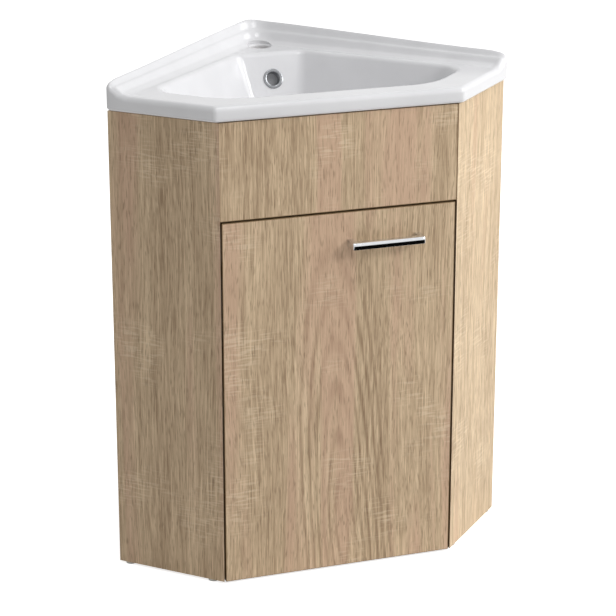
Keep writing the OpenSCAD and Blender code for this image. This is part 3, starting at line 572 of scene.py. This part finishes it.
class BasinSkin:
    """The basin's levels, as loops that run from the waste over the bowl, deck and apron and back below.

    Points of the plan have their y from the cabinet's front.
    """

    def __init__(self):
        s = sizes()
        self.loops = []
        self.deck = BOARD_TOP + s.apron
        self.floor = self.deck - s.bowl_depth
        self.floor_edge = self.floor + FLOOR_FALL
        self.edge = plan_loop(plan_corners(*bowl_plan(FLOOR_DRAW)), FLOOR_RADII)
        # Ends of the bowl's straight wall, as (drawn in from the rim, height)
        out, up = rounded(s.floor_round, WALL_LEAN)
        self.wall_foot = (FLOOR_DRAW - out, self.floor_edge + up)
        self.rim_out = s.rim_round * math.tan(WALL_LEAN / 2)
        inward, down = rounded(s.rim_round, WALL_LEAN)
        self.wall_rim = (inward - self.rim_out, self.deck - down)

    def put(self, points, height):
        """Adds a loop over points of the plan; the height may be a function of the point."""
        self.loops.append([Vector((p.x, p.y + FRONT_Y, height(p) if callable(height) else height))
                           for p in points])

    def level(self, plan, radii, height):
        self.put(plan_loop(plan_corners(*plan), radii), height)

    def bowl_level(self, draw, height):
        radii = mix_list(RIM_RADII, FLOOR_RADII, max(draw, 0) / FLOOR_DRAW)
        self.level(bowl_plan(draw), radii, height)

    def outline_level(self, inset, height):
        radii = mix_list(OUTER_RADII, INNER_RADII, inset / DECK_INSET)
        self.level(outline_plan(inset), radii, height)

    def round_waste(self, radius):
        """The floor's edge drawn in to a circle round the waste."""
        return [(p - WASTE).normalized() * radius + WASTE for p in self.edge]

    def turned(self, section):
        """Adds circles round the waste; the section has (radius, height over the floor) in mm."""
        for radius, height in section:
            self.put(self.round_waste(radius * MM), self.floor + height * MM)

    def wall_foot_round(self, shell, steps):
        """The round between floor and wall, inside, or outside with the shell's thickness."""
        radius = sizes().floor_round + shell
        for i in steps:
            out, up = rounded(radius, WALL_LEAN * i / 9)
            self.bowl_level(FLOOR_DRAW - out, self.floor_edge - shell + up)

    def bowl(self):
        """Seat of the waste, floor, rounded foot, leaning wall and rounded rim."""
        self.turned(((23, -29.5), (23, -4), (23.4, -2.9), (24.4, -2.2), (30.5, -2), (31.6, -1.7),
                     (32, -1), (32.4, -0.3), (WASTE_SEAT, 0)))
        seat = self.round_waste(WASTE_SEAT * MM)
        for i in range(1, 9):
            share = i / 9
            self.put([p.lerp(q, share) for p, q in zip(seat, self.edge)],
                     self.floor + FLOOR_FALL * smooth(0, 1, share))
        self.wall_foot_round(0, range(9))
        for i in range(9):
            self.bowl_level(*mix_list(self.wall_foot, self.wall_rim, i / 8))
        for i in range(7, -1, -1):
            inward, down = rounded(sizes().rim_round, WALL_LEAN * i / 8)
            self.bowl_level(inward - self.rim_out, self.deck - down)

    def top(self):
        """Deck, upstand and rounded outer edge."""
        for i in range(1, 6):
            share = i / 6
            plan = mix_list(bowl_plan(-self.rim_out), outline_plan(DECK_INSET), share)
            self.level(plan, mix_list(RIM_RADII, INNER_RADII, share ** 0.7),
                       lambda p: self.deck + basin_top(p.x, p.y, DECK_INSET))
        for inset in (40, 37.5, 35, 32.5, 30, 28, 26, 24.5, 23, 21.5, 20, 18.5, 17, 15.5, 14, 12.5, 11,
                      9.5, 8, 6.5, 5.2, 4, 3, 2.1, 1.4, 0.8, 0.35, 0.1, 0):
            self.outline_level(inset * MM, lambda p, d=inset * MM: self.deck + basin_top(p.x, p.y, d))

    def apron(self, lip, under):
        """Outer face, down to the rounded lower edge."""
        for share in (0.3, 0.65):
            self.outline_level(0.0, lambda p, k=share: ((self.deck + basin_top(p.x, p.y, 0)) * (1 - k)
                                                        + (lip + under) * k))
        for i in range(7):
            down, inward = rounded(under, math.pi / 2 * i / 6)
            self.outline_level(inward, lip + under - down)

    def underside(self, lip):
        """Foot on the boards, underside of the deck, outside of the bowl and the waste's collar."""
        below = self.deck - DECK_THICK
        for inset, height in ((9, lip), (10.5, lip - 0.4 * MM), (11.5, BOARD_TOP), (24, BOARD_TOP),
                              (25.5, BOARD_TOP + 0.5 * MM), (26, BOARD_TOP + 2 * MM), (26, below - 3 * MM),
                              (27, below - 0.8 * MM), (29.5, below)):
            self.outline_level(inset * MM, height)
        neck = -13 * MM
        for share in (0.33, 0.66):
            self.level(mix_list(outline_plan(29.5 * MM), bowl_plan(neck), share),
                       mix_list(INNER_RADII, RIM_RADII, share), below)
        shoulder = (-3.5 * MM, below - 6 * MM)
        for draw, height in ((neck, below), (-7 * MM, below - 1.5 * MM), shoulder):
            self.bowl_level(draw, height)
        foot = (self.wall_foot[0] - SHELL * math.sin(WALL_LEAN),
                self.wall_foot[1] - SHELL * math.cos(WALL_LEAN))
        for i in range(1, 7):
            self.bowl_level(*mix_list(shoulder, foot, i / 6))
        self.wall_foot_round(SHELL, range(8, -1, -1))
        for share in (0.3, 0.6, 0.85):
            self.put([p.lerp(q, share) for p, q in zip(self.edge, self.round_waste(38 * MM))],
                     self.floor_edge - SHELL - FLOOR_FALL * share)
        self.turned(((37, -9), (34, -10.2), (32.4, -12.5), (32, -15), (32, -31), (31.4, -32.4), (30, -33),
                     (24.6, -33), (23.4, -32.6), (23, -31.5)))

    def mesh(self):
        """The whole skin; the apron's lower edge is round and ends in a lip over the boards."""
        lip = BOARD_TOP + 1.8 * MM
        self.bowl()
        self.top()
        self.apron(lip, under=5 * MM)
        self.underside(lip)
        return loops_to_mesh("basin_glazed", self.loops)


def overflow_place():
    """Frame of the overflow on the leaning rear wall; Z points into the bowl."""
    y = CORNER - BOWL_CORNER - OVERFLOW_DROP * WALL_SLOPE + FRONT_Y
    centre = Vector((0, y, BOARD_TOP + sizes().apron - OVERFLOW_DROP))
    return Matrix.Translation(centre) @ Matrix.Rotation(math.pi / 2 - math.atan(WALL_SLOPE), 4, "X")


def tap_cutter():
    """A turned cutter for the tap hole with its rounded lip; heights are from the deck."""
    radius = sizes().tap_radius
    lip, low, high, core = 3.5 * MM, -30 * MM, 20 * MM, 0.1 * MM
    place = Matrix.Translation((0, CORNER - TAP_CORNER + FRONT_Y, BOARD_TOP + sizes().apron))
    profile = [(core, low), (radius, low)]
    profile += arc((radius + lip, -lip), lip, 180, 90, 8)
    profile += [(radius + lip + 0.4 * MM, 0.01 * MM), (radius + lip + 0.8 * MM, high), (core, high)]
    return loops_to_mesh("tap_cutter", lathe(profile, place, 64))


def overflow_cutter():
    """A round cutter for the overflow, 13 mm in radius, through the bowl's wall into the channel."""
    low, high, core, radius = -19 * MM, 12 * MM, 0.1 * MM, 13 * MM
    profile = [(core, low), (radius, low), (radius, high), (core, high)]
    return loops_to_mesh("overflow_cutter", lathe(profile, overflow_place()))


def channel_loops():
    """The overflow's channel behind the bowl, from the overflow down to the waste's collar."""
    deck = BOARD_TOP + sizes().apron
    floor = deck - sizes().bowl_depth
    rear = CORNER - BOWL_CORNER
    # (y, z) of its middle line: behind the leaning wall, then forward under the floor
    route = [(rear - WALL_SLOPE * drop * MM + behind * MM, deck - drop * MM)
             for drop, behind in ((30, 16), (60, 17), (95, 17), (118, 15))]
    foot = rear - WALL_SLOPE * sizes().bowl_depth
    route += [(foot + 4 * MM, floor - 12 * MM), (foot - 14 * MM, floor - 15 * MM),
              (232 * MM, floor - 15 * MM)]
    half_width, half_depth = 22 * MM, 10 * MM

    def fuller(value, power):
        """A sine or cosine brought nearer to 1, for a section between round and square."""
        return math.copysign(abs(value) ** power, value)

    loops = []
    for i, (y, z) in enumerate(route):
        before, after = route[max(i - 1, 0)], route[min(i + 1, len(route) - 1)]
        along = Vector((0, after[0] - before[0], after[1] - before[1])).normalized()
        out = Vector((1, 0, 0)).cross(along)
        loop = []
        for step in range(32):
            turn = 2 * math.pi * step / 32
            wide, deep = fuller(math.cos(turn), 0.55) * half_width, fuller(math.sin(turn), 0.7) * half_depth
            loop.append(Vector((wide, y + FRONT_Y, z)) + out * deep)
        loops.append(loop)
    return loops


class VANITY_OT_basin(bpy.types.Operator):
    """Make the glazed corner basin with its bowl, upstand, tap hole and overflow"""
    bl_idname = "vanity.basin"
    bl_label = "Basin"

    def execute(self, context):
        china = glazed_ceramic("vitreous_china", chosen("china_dark", "china_light"))
        overflow = overflow_cutter()
        basin = cut_with(cut_with(BasinSkin().mesh(), tap_cutter()), overflow)
        finish_piece("basin_glazed", tidy_mesh(basin, 42), china, "carcass", ("basin",))
        channel = cut_with(loops_to_mesh("overflow_channel", channel_loops(), ring=False), overflow)
        finish_piece("overflow_channel", tidy_mesh(channel, 50), china, "carcass")
        return {"FINISHED"}


class VANITY_OT_overflow_ring(bpy.types.Operator):
    """Turn the chrome overflow ring with its rounded flange"""
    bl_idname = "vanity.overflow_ring"
    bl_label = "Overflow ring"

    def execute(self, context):
        outer = sizes().ring_radius
        bore, sleeve, foot, seat, flange = 11 * MM, 12.9 * MM, -12 * MM, 0.1 * MM, 1.2 * MM
        profile = [(bore, foot), (sleeve, foot), (sleeve, seat), (outer - 0.6 * MM, seat)]
        profile += arc((outer - flange, flange), flange, -20, 90, 8)
        profile += arc((13.4 * MM, seat), 2.3 * MM, 88, 150, 6)
        profile += [(bore, 0.6 * MM)]
        mesh = loops_to_mesh("overflow_ring_turned", lathe(profile, overflow_place(), 64), 50)
        chrome = bpy.data.materials["chrome_plated_abs"]
        finish_piece("overflow_ring_turned", mesh, chrome, "carcass", ("overflow_ring",))
        return {"FINISHED"}


# ---- Handle and screws ----

class VANITY_OT_handle(bpy.types.Operator):
    """Make the chrome bar handle with its two legs, round nose and eased edges"""
    bl_idname = "vanity.handle"
    bl_label = "Handle"

    def execute(self, context):
        s = sizes()
        low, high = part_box("handle")
        levels = [(low.z + drop, drop, s.handle_foot) for drop in self.drops(s.handle_foot)]
        levels += [(high.z - drop, drop, s.handle_nose) for drop in reversed(self.drops(s.handle_nose))]
        loops = [[Vector((x, y, z)) for x, y in self.plan(low, high, drop, radius)]
                 for z, drop, radius in levels]
        mesh = loops_to_mesh("bar_handle", loops, 35, ring=False)
        chrome = bpy.data.materials["polished_chrome"]
        finish_piece("bar_handle", mesh, chrome, "door", ("handle",))
        return {"FINISHED"}

    def drops(self, radius):
        """Distances from the top or foot at which the handle's outline is taken."""
        eased = [sizes().handle_edge * share for share in (0, 0.15, 0.45, 1)]
        rounded = [radius * (1 - math.cos(math.radians(turn))) for turn in range(24, 91, 6)]
        return eased + [drop for drop in rounded if drop > 1.05 * eased[-1]]

    def plan(self, low, high, drop, radius):
        """The handle seen from above, at a level that lies drop below its top or above its foot."""
        leg, depth, round_out, round_in = 9 * MM, 11 * MM, 4 * MM, 2 * MM
        edge = sizes().handle_edge
        front = low.y + radius - math.sqrt(radius ** 2 - max(radius - drop, 0) ** 2)
        ease = edge - math.sqrt(edge ** 2 - max(edge - drop, 0) ** 2)
        inner = low.y + depth + round_in
        outside = [(low.x + ease, high.y)]
        outside += arc((low.x + round_out, front + round_out), round_out - ease, 180, 270, 10)
        inside = arc((low.x + leg + round_in, inner), round_in + ease, 270, 180, 6)
        inside += [(low.x + leg - ease, high.y)]
        right_half = [(low.x + high.x - x, y) for x, y in reversed(inside + outside)]
        return outside + right_half + inside


def screw_tree(material):
    """Geometry Nodes: a cross-head screw on each point, turned to its axis and scaled by its head."""
    tree = bpy.data.node_groups.new("cross_head_screws", "GeometryNodeTree")
    tree.interface.new_socket("Places", in_out="INPUT", socket_type="NodeSocketGeometry")
    # Sizes are shares of the head's radius
    for name, value in (("Head height", 0.35), ("Head taper", 0.25), ("Recess width", 0.24),
                        ("Recess length", 1.15), ("Recess depth", 0.5), ("Shank radius", 0.5),
                        ("Shank length", 3.4)):
        socket = tree.interface.new_socket(name, in_out="INPUT", socket_type="NodeSocketFloat")
        socket.default_value = value
    tree.interface.new_socket("Screws", in_out="OUTPUT", socket_type="NodeSocketGeometry")
    given = add(tree, "NodeGroupInput").node.outputs

    def raised(shape, height):
        """The shape moved along the screw's axis."""
        offset = add(tree, "ShaderNodeCombineXYZ", {2: height})
        return add(tree, "GeometryNodeTransform", {"Geometry": shape, "Translation": offset})

    middle = add(tree, MATH, given["Head height"], 0.5, operation="MULTIPLY")
    rim = add(tree, "GeometryNodeMeshCylinder",
              {"Vertices": 28, "Radius": 1.0, "Depth": given["Head height"]})
    crown = add(tree, "GeometryNodeMeshCone", {"Vertices": 28, "Radius Top": 0.7, "Radius Bottom": 1.0,
                                               "Depth": given["Head taper"]})
    head = add(tree, "GeometryNodeMeshBoolean",
               {"Mesh 2": [raised(rim, middle), raised(crown, given["Head height"])]}, operation="UNION")
    top = add(tree, MATH, given["Head height"], given["Head taper"], operation="ADD")
    bars = []
    for sides in (("Recess length", "Recess width"), ("Recess width", "Recess length")):
        size = add(tree, "ShaderNodeCombineXYZ", given[sides[0]], given[sides[1]], given["Recess depth"])
        bars.append(raised(add(tree, "GeometryNodeMeshCube", {"Size": size}), top))
    recess = add(tree, "GeometryNodeMeshBoolean", {"Mesh 1": head, "Mesh 2": bars}, operation="DIFFERENCE")
    shank = add(tree, "GeometryNodeMeshCylinder", {"Vertices": 16, "Radius": given["Shank radius"],
                                                   "Depth": given["Shank length"]})
    half_shank = add(tree, MATH, given["Shank length"], -0.5, operation="MULTIPLY")
    screw = add(tree, "GeometryNodeJoinGeometry", {0: [recess, raised(shank, half_shank)]})
    axis = add(tree, "GeometryNodeInputNamedAttribute", {"Name": "axis"}, data_type="FLOAT_VECTOR")
    radius = add(tree, "GeometryNodeInputNamedAttribute", {"Name": "head"}, data_type="FLOAT")
    turned = add(tree, "FunctionNodeAlignRotationToVector", {"Vector": axis}, axis="Z")
    placed = add(tree, "GeometryNodeInstanceOnPoints", {"Points": given["Places"], "Instance": screw,
                                                        "Rotation": turned, "Scale": radius})
    real = add(tree, "GeometryNodeRealizeInstances", placed)
    painted = add(tree, "GeometryNodeSetMaterial", {"Geometry": real, "Material": material})
    add(tree, "NodeGroupOutput", painted)
    return tree


def screws(name, places, body, replaced, tree, material):
    """One mesh of screws; each place is (head's seat, axis outwards, head radius)."""
    points = bpy.data.meshes.new(name + "_places")
    points.from_pydata([p for p, _, _ in places], [], [])
    points.attributes.new("axis", "FLOAT_VECTOR", "POINT")
    points.attributes.new("head", "FLOAT", "POINT")
    for i, (_, direction, radius) in enumerate(places):
        points.attributes["axis"].data[i].vector = direction
        points.attributes["head"].data[i].value = radius
    mesh = soften(with_modifier(points, "NODES", node_group=tree), 30)
    finish_piece(name, mesh, material, body, replaced)


def solid_boxes(node):
    """Lowest and highest corner of each separate solid in a node, in the same order each run."""
    work = bmesh.new()
    work.from_mesh(NODES[node].data)
    bmesh.ops.remove_doubles(work, verts=work.verts, dist=1e-6)
    left, boxes = set(work.verts), []
    while left:
        group, todo = [], [left.pop()]
        while todo:
            vert = todo.pop()
            group.append(vert.co.copy())
            for edge in vert.link_edges:
                other = edge.other_vert(vert)
                if other in left:
                    left.discard(other)
                    todo.append(other)
        boxes.append((Vector(map(min, zip(*group))), Vector(map(max, zip(*group)))))
    work.free()
    return sorted(boxes, key=lambda box: tuple(box[0]))


def rear_screws(node, head, height):
    """Places of screws whose heads, of a given height, face the back."""
    return [(Vector(((low.x + high.x) / 2, high.y - height, (low.z + high.z) / 2)), Vector((0, 1, 0)), head)
            for low, high in solid_boxes(node)]


class VANITY_OT_screws(bpy.types.Operator):
    """Set cross-head screws in the hinges, the bracket, the front rail and the handle"""
    bl_idname = "vanity.screws"
    bl_label = "Screws"

    def execute(self, context):
        zinc = bpy.data.materials["zinc_plated_steel"]
        tree = screw_tree(zinc)
        carcass = self.plate_screws() + self.bracket_screws()
        carcass += rear_screws("fascia_screws", 3.3 * MM, 1.9 * MM)
        screws("carcass_screws", carcass, "carcass",
               ("hinge_plate_screws", "corner_bracket_screws", "fascia_screws"), tree, zinc)
        door = rear_screws("hinge_cup_screws", 3.4 * MM, 1.6 * MM)
        door += rear_screws("handle_screws", 4 * MM, 2.2 * MM)
        screws("door_screws", door, "door", ("hinge_cup_screws", "handle_screws"), tree, zinc)
        return {"FINISHED"}

    def plate_screws(self):
        """Screws of the hinge plates, at 45 degrees; their box ends at the head's inner corner."""
        out, head, seat = Vector((1, 1, 0)).normalized(), 3.6 * MM, 4.83 * MM
        return [(Vector((high.x, high.y, (low.z + high.z) / 2)) - out * seat, out, head)
                for low, high in solid_boxes("hinge_plate_screws")]

    def bracket_screws(self):
        """Screws of the corner bracket, square to the two walls, with heads of 2 mm."""
        head, height, half_box = 3.8 * MM, 2 * MM, 2.83 * MM
        places = []
        for low, high in solid_boxes("corner_bracket_screws"):
            side = 1 if low.x + high.x > 0 else -1
            out = Vector((-side, -1, 0)).normalized()
            edge = Vector((low.x if side > 0 else high.x, low.y, (low.z + high.z) / 2))
            places.append((edge + Vector((side, 1, 0)) * half_box - out * height, out, head))
        return places


# ---- Boards and fittings ----

def paint(material, *nodes):
    """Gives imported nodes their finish."""
    for node in nodes:
        NODES[node].material_slots[0].material = material


class VANITY_OT_materials(bpy.types.Operator):
    """Make the metal finishes that several pieces share"""
    bl_idname = "vanity.materials"
    bl_label = "Metal finishes"

    def execute(self, context):
        # Polished chrome is bright and mirror-sharp, chrome on plastic darker: smears of 17 and 11 mm
        chrome = chosen("chrome_dark", "chrome_light")
        plated_metal("polished_chrome", chrome, (0.04, 0.08), (60, 60, 60))
        plated_metal("chrome_plated_abs", from_hex("8A8C8F", "A4A6A9"), (0.10, 0.16), (90, 90, 90))
        # Barrel-plated steel is soft-bright: warm nickel with streaks of 1 mm, cool zinc with 3 mm spangle
        plated_metal("nickel_plated_steel", from_hex("A9A69E", "BAB7AF"), (0.24, 0.36), (90, 90, 900))
        plated_metal("zinc_plated_steel", from_hex("A3A6AA", "B7B9BC"), (0.22, 0.34), (300, 300, 300))
        return {"FINISHED"}


class VANITY_OT_boards(bpy.types.Operator):
    """Give the boards their oak laminate and the edge bands their finish"""
    bl_idname = "vanity.boards"
    bl_label = "Boards"

    def execute(self, context):
        self.front_and_sides()
        self.inner_boards()
        # Printed ABS bands: finer and flatter than the boards; round the door their colours are darkened as
        # painted shade of the narrow gap
        gap_shade_band = chosen("band_painted_shade_dark", "band_painted_shade_light")
        paint(grained("oak_edge_band", gap_shade_band, (420, 420, 9), Roughness=0.5), "door_edge_bands")
        paint(grained("oak_edge_band_level_painted_shade", gap_shade_band, (9, 420, 420), Roughness=0.5), "fascia_edge_band")
        shelf_band = from_hex("A98F6B", "CDB48D")
        paint(grained("oak_shelf_band", shelf_band, (9, 420, 420), Roughness=0.5), "shelf_edge_band")
        # Fluted beech dowels: pale, with tight pores
        paint(grained("beech", from_hex("B08C62", "CBA87C"), (500, 500, 500), Roughness=0.6), "rail_dowels")
        return {"FINISHED"}

    def front_and_sides(self):
        """Each board has its own part of the print; a gap shade band is (x of the board's end, thickness), a
        dark strip painted there as the shade of the gap.
        """
        left, right = math.radians(-135), math.radians(-45)
        paint(oak_laminate("oak_laminate_door", OAK, figure=(0.02, 0.08, 0.15, -0.055)), "door_panel")
        paint(oak_laminate("oak_laminate_fascia", OAK, shift=(1.3, 0, 0.7), gap_shade_band=(HALF_W, 1.6 * MM)),
              "fascia_panel")
        paint(oak_laminate("oak_laminate_left", OAK, left, (0.4, 0, 2.1), gap_shade_band=(-HALF_W, 0.1 * MM)),
              "left_side_panel")
        # The right board gets the paler copy of the print: painted light from the side lamp
        paint(oak_laminate("oak_laminate_right_painted_light", LIT_OAK_PAINTED, right, (2.2, 0, 0.3), gap_shade_band=(HALF_W, 0.3 * MM)),
              "right_side_panel")

    def inner_boards(self):
        """Boards inside and behind, with the grain along their length."""
        left, right = math.radians(-45), math.radians(45)
        paint(oak_laminate("oak_laminate_level", OAK, shift=(0.2, 1.1, 3.0), level=True),
              "base_panel", "shelf", "front_rail")
        paint(oak_laminate("oak_laminate_left_rails", OAK, left, (0.9, 0, 1.0), level=True),
              "upper_left_rail", "lower_left_rail")
        paint(oak_laminate("oak_laminate_right_rails", OAK, right, (0.5, 0, 1.6), level=True),
              "upper_right_rail", "lower_right_rail")
        paint(oak_laminate("oak_laminate_post", OAK, right, (0.1, 0.3, 0.2)), "corner_post")


class VANITY_OT_fittings(bpy.types.Operator):
    """Give the hinges, pins, bracket, glides and bumpers their finish"""
    bl_idname = "vanity.fittings"
    bl_label = "Fittings"

    def execute(self, context):
        made = bpy.data.materials
        paint(made["nickel_plated_steel"], "hinge_plates", "hinge_arms", "hinge_arm_pins",
              "hinge_inner_links", "hinge_elbow_pins", "hinge_outer_links", "hinge_cups", "hinge_cup_pins")
        paint(made["zinc_plated_steel"], "corner_bracket", "cam_bolts", "cam_housings", "post_screw",
              "shelf_pins", "hinge_plate_screws", "hinge_cup_screws", "handle_screws",
              "corner_bracket_screws", "fascia_screws")
        paint(made["polished_chrome"], "overflow_ring", "handle")
        paint(made["vitreous_china"], "basin")
        # Milky polyethylene with a soft sheen, and clear rubbery polyurethane
        milky, clear = from_hex("C9C9C4", "D8D8D3"), from_hex("C4C9C8", "DADEDC")
        paint(moulded_plastic("moulded_polyethylene", milky, Roughness=0.45), "glides")
        paint(moulded_plastic("clear_polyurethane", clear, Roughness=0.2, Transmission_Weight=0.4, IOR=1.49),
              "door_bumpers")
        return {"FINISHED"}


# ---- Stage ----

def turn_to(thing, direction):
    """Turns a lamp or camera to look along a direction."""
    thing.rotation_euler = direction.to_track_quat("-Z", "Y").to_euler()


def flat_sheet(name, low, high, z, material):
    """A level sheet that belongs to the stage."""
    mesh = bpy.data.meshes.new(name)
    corners = ((low[0], low[1], z), (high[0], low[1], z), (high[0], high[1], z), (low[0], high[1], z))
    mesh.from_pydata(corners, [], [(0, 1, 2, 3)])
    mesh.materials.append(material)
    sheet = link_object(name, mesh)
    return sheet


class VANITY_OT_stage(bpy.types.Operator):
    """Lay the pale floor, hang the soft lamps and set the camera"""
    bl_idname = "vanity.stage"
    bl_label = "Stage"

    def execute(self, context):
        self.floor()
        self.black_flag()
        context.scene.world = self.room()
        for name, place, size, power in LAMPS:
            self.lamp(name, place, size, power)
        context.scene.camera = self.camera()
        context.scene.view_settings.view_transform = "Standard"
        return {"FINISHED"}

    def lamp(self, name, place, size, power):
        """A round soft lamp that looks at the middle of the unit."""
        data = bpy.data.lights.new(name, "AREA")
        data.shape = "DISK"
        data.size = size
        data.energy = power
        lamp = link_object(name, data)
        lamp.location = place
        turn_to(lamp, Vector(LAMP_TARGET) - Vector(place))

    def camera(self):
        """The camera at the photograph's viewing angle: a long lens, from the left and above."""
        data = bpy.data.cameras.new("photo_camera")
        data.lens = CAMERA_LENS
        data.sensor_width = CAMERA_SENSOR
        data.clip_end = 60
        camera = link_object("photo_camera", data)
        camera.location = CAMERA_PLACE
        level = math.cos(CAMERA_PITCH)
        turn_to(camera, Vector((math.sin(CAMERA_YAW) * level, math.cos(CAMERA_YAW) * level,
                                -math.sin(CAMERA_PITCH))))
        return camera

    def floor(self):
        """Matt studio floor: near white, with the object's soft shadow on it."""
        material, tree, principled = shader("studio_floor", Roughness=0.9, Specular_IOR_Level=0.1)
        share = add(tree, MAP_RANGE, speckle(tree, (3, 3, 3), 2.0), 0.3, 0.7, 0.0, 0.03)
        colours = {0: share, 6: chosen("floor")[0], 7: linear("E8E8E6")}
        dress(tree, principled, add(tree, "ShaderNodeMix", colours, data_type="RGBA", out=2))
        # Lit floor and glow together reach white, for the camera and in reflections
        path = add(tree, "ShaderNodeLightPath").node.outputs
        mirrored = add(tree, MATH, path["Is Glossy Ray"], path["Is Transmission Ray"],
                       operation="MAXIMUM")
        mirrored = add(tree, MATH, mirrored, FLOOR_MIRRORED, operation="MULTIPLY")
        strength = add(tree, MATH, path["Is Camera Ray"], FLOOR_SEEN, mirrored,
                       operation="MULTIPLY_ADD")
        glow = add(tree, "ShaderNodeEmission", {"Color": (1, 1, 1, 1), "Strength": strength})
        both = add(tree, "ShaderNodeAddShader", principled.outputs[0], glow)
        tree.links.new(both, tree.nodes["Material Output"].inputs["Surface"])
        flat_sheet("studio_floor", (-14, -14), (14, 14), 0.0, material)

    def black_flag(self):
        """A black cloth on the floor in front gives the chrome its dark side; only reflections see it."""
        material, tree, principled = shader("black_flag", Roughness=0.9, Specular_IOR_Level=0.0)
        weave = speckle(tree, (40, 40, 40), 2.0)
        dress(tree, principled, two_tone(tree, weave, from_hex("050505", "0C0C0C"), 0.0, 1.0))
        flag = flat_sheet("black_flag", (-1.6, -3.6), (2.4, -0.27), 2 * MM, material)
        flag.visible_camera = False
        flag.visible_diffuse = False
        flag.visible_shadow = False

    def room(self):
        """A world of even light, white where the camera, gloss or glass sees it."""
        world = bpy.data.worlds.new("studio")
        world.use_nodes = True
        tree = world.node_tree
        tree.nodes.clear()
        path = add(tree, "ShaderNodeLightPath").node.outputs
        seen = path["Is Camera Ray"]
        for ray in ("Is Glossy Ray", "Is Transmission Ray"):
            seen = add(tree, MATH, seen, path[ray], operation="MAXIMUM")
        strength = add(tree, MATH, seen, ROOM_SEEN, ROOM_LIGHT, operation="MULTIPLY_ADD")
        back = add(tree, "ShaderNodeBackground", {"Color": (1, 1, 1, 1), "Strength": strength})
        add(tree, "ShaderNodeOutputWorld", {"Surface": back})
        return world


# ---- Add-on ----

class VANITY_PT_panel(bpy.types.Panel):
    """Lists the sizes, the colours and the steps that dress the vanity unit"""
    bl_label = "Corner vanity"
    bl_idname = "VANITY_PT_panel"
    bl_space_type = "VIEW_3D"
    bl_region_type = "UI"
    bl_category = "Vanity"

    def draw(self, context):
        for group in (context.scene.vanity_sizes, context.scene.vanity_colours):
            for name in type(group).__annotations__:
                self.layout.prop(group, name)
        for step in STEPS:
            self.layout.operator(step.bl_idname)


STEPS = (VANITY_OT_materials, VANITY_OT_basin, VANITY_OT_overflow_ring, VANITY_OT_handle, VANITY_OT_screws,
         VANITY_OT_boards, VANITY_OT_fittings, VANITY_OT_stage)
CLASSES = (VanitySizes, VanityColours, *STEPS, VANITY_PT_panel)


def register():
    for kind in CLASSES:
        bpy.utils.register_class(kind)
    bpy.types.Scene.vanity_sizes = PointerProperty(type=VanitySizes)
    bpy.types.Scene.vanity_colours = PointerProperty(type=VanityColours)


def unregister():
    del bpy.types.Scene.vanity_colours
    del bpy.types.Scene.vanity_sizes
    for kind in reversed(CLASSES):
        bpy.utils.unregister_class(kind)


def main():
    register()
    for step in STEPS:
        family, action = step.bl_idname.split(".")
        getattr(getattr(bpy.ops, family), action)()


if __name__ == "__main__":
    main()
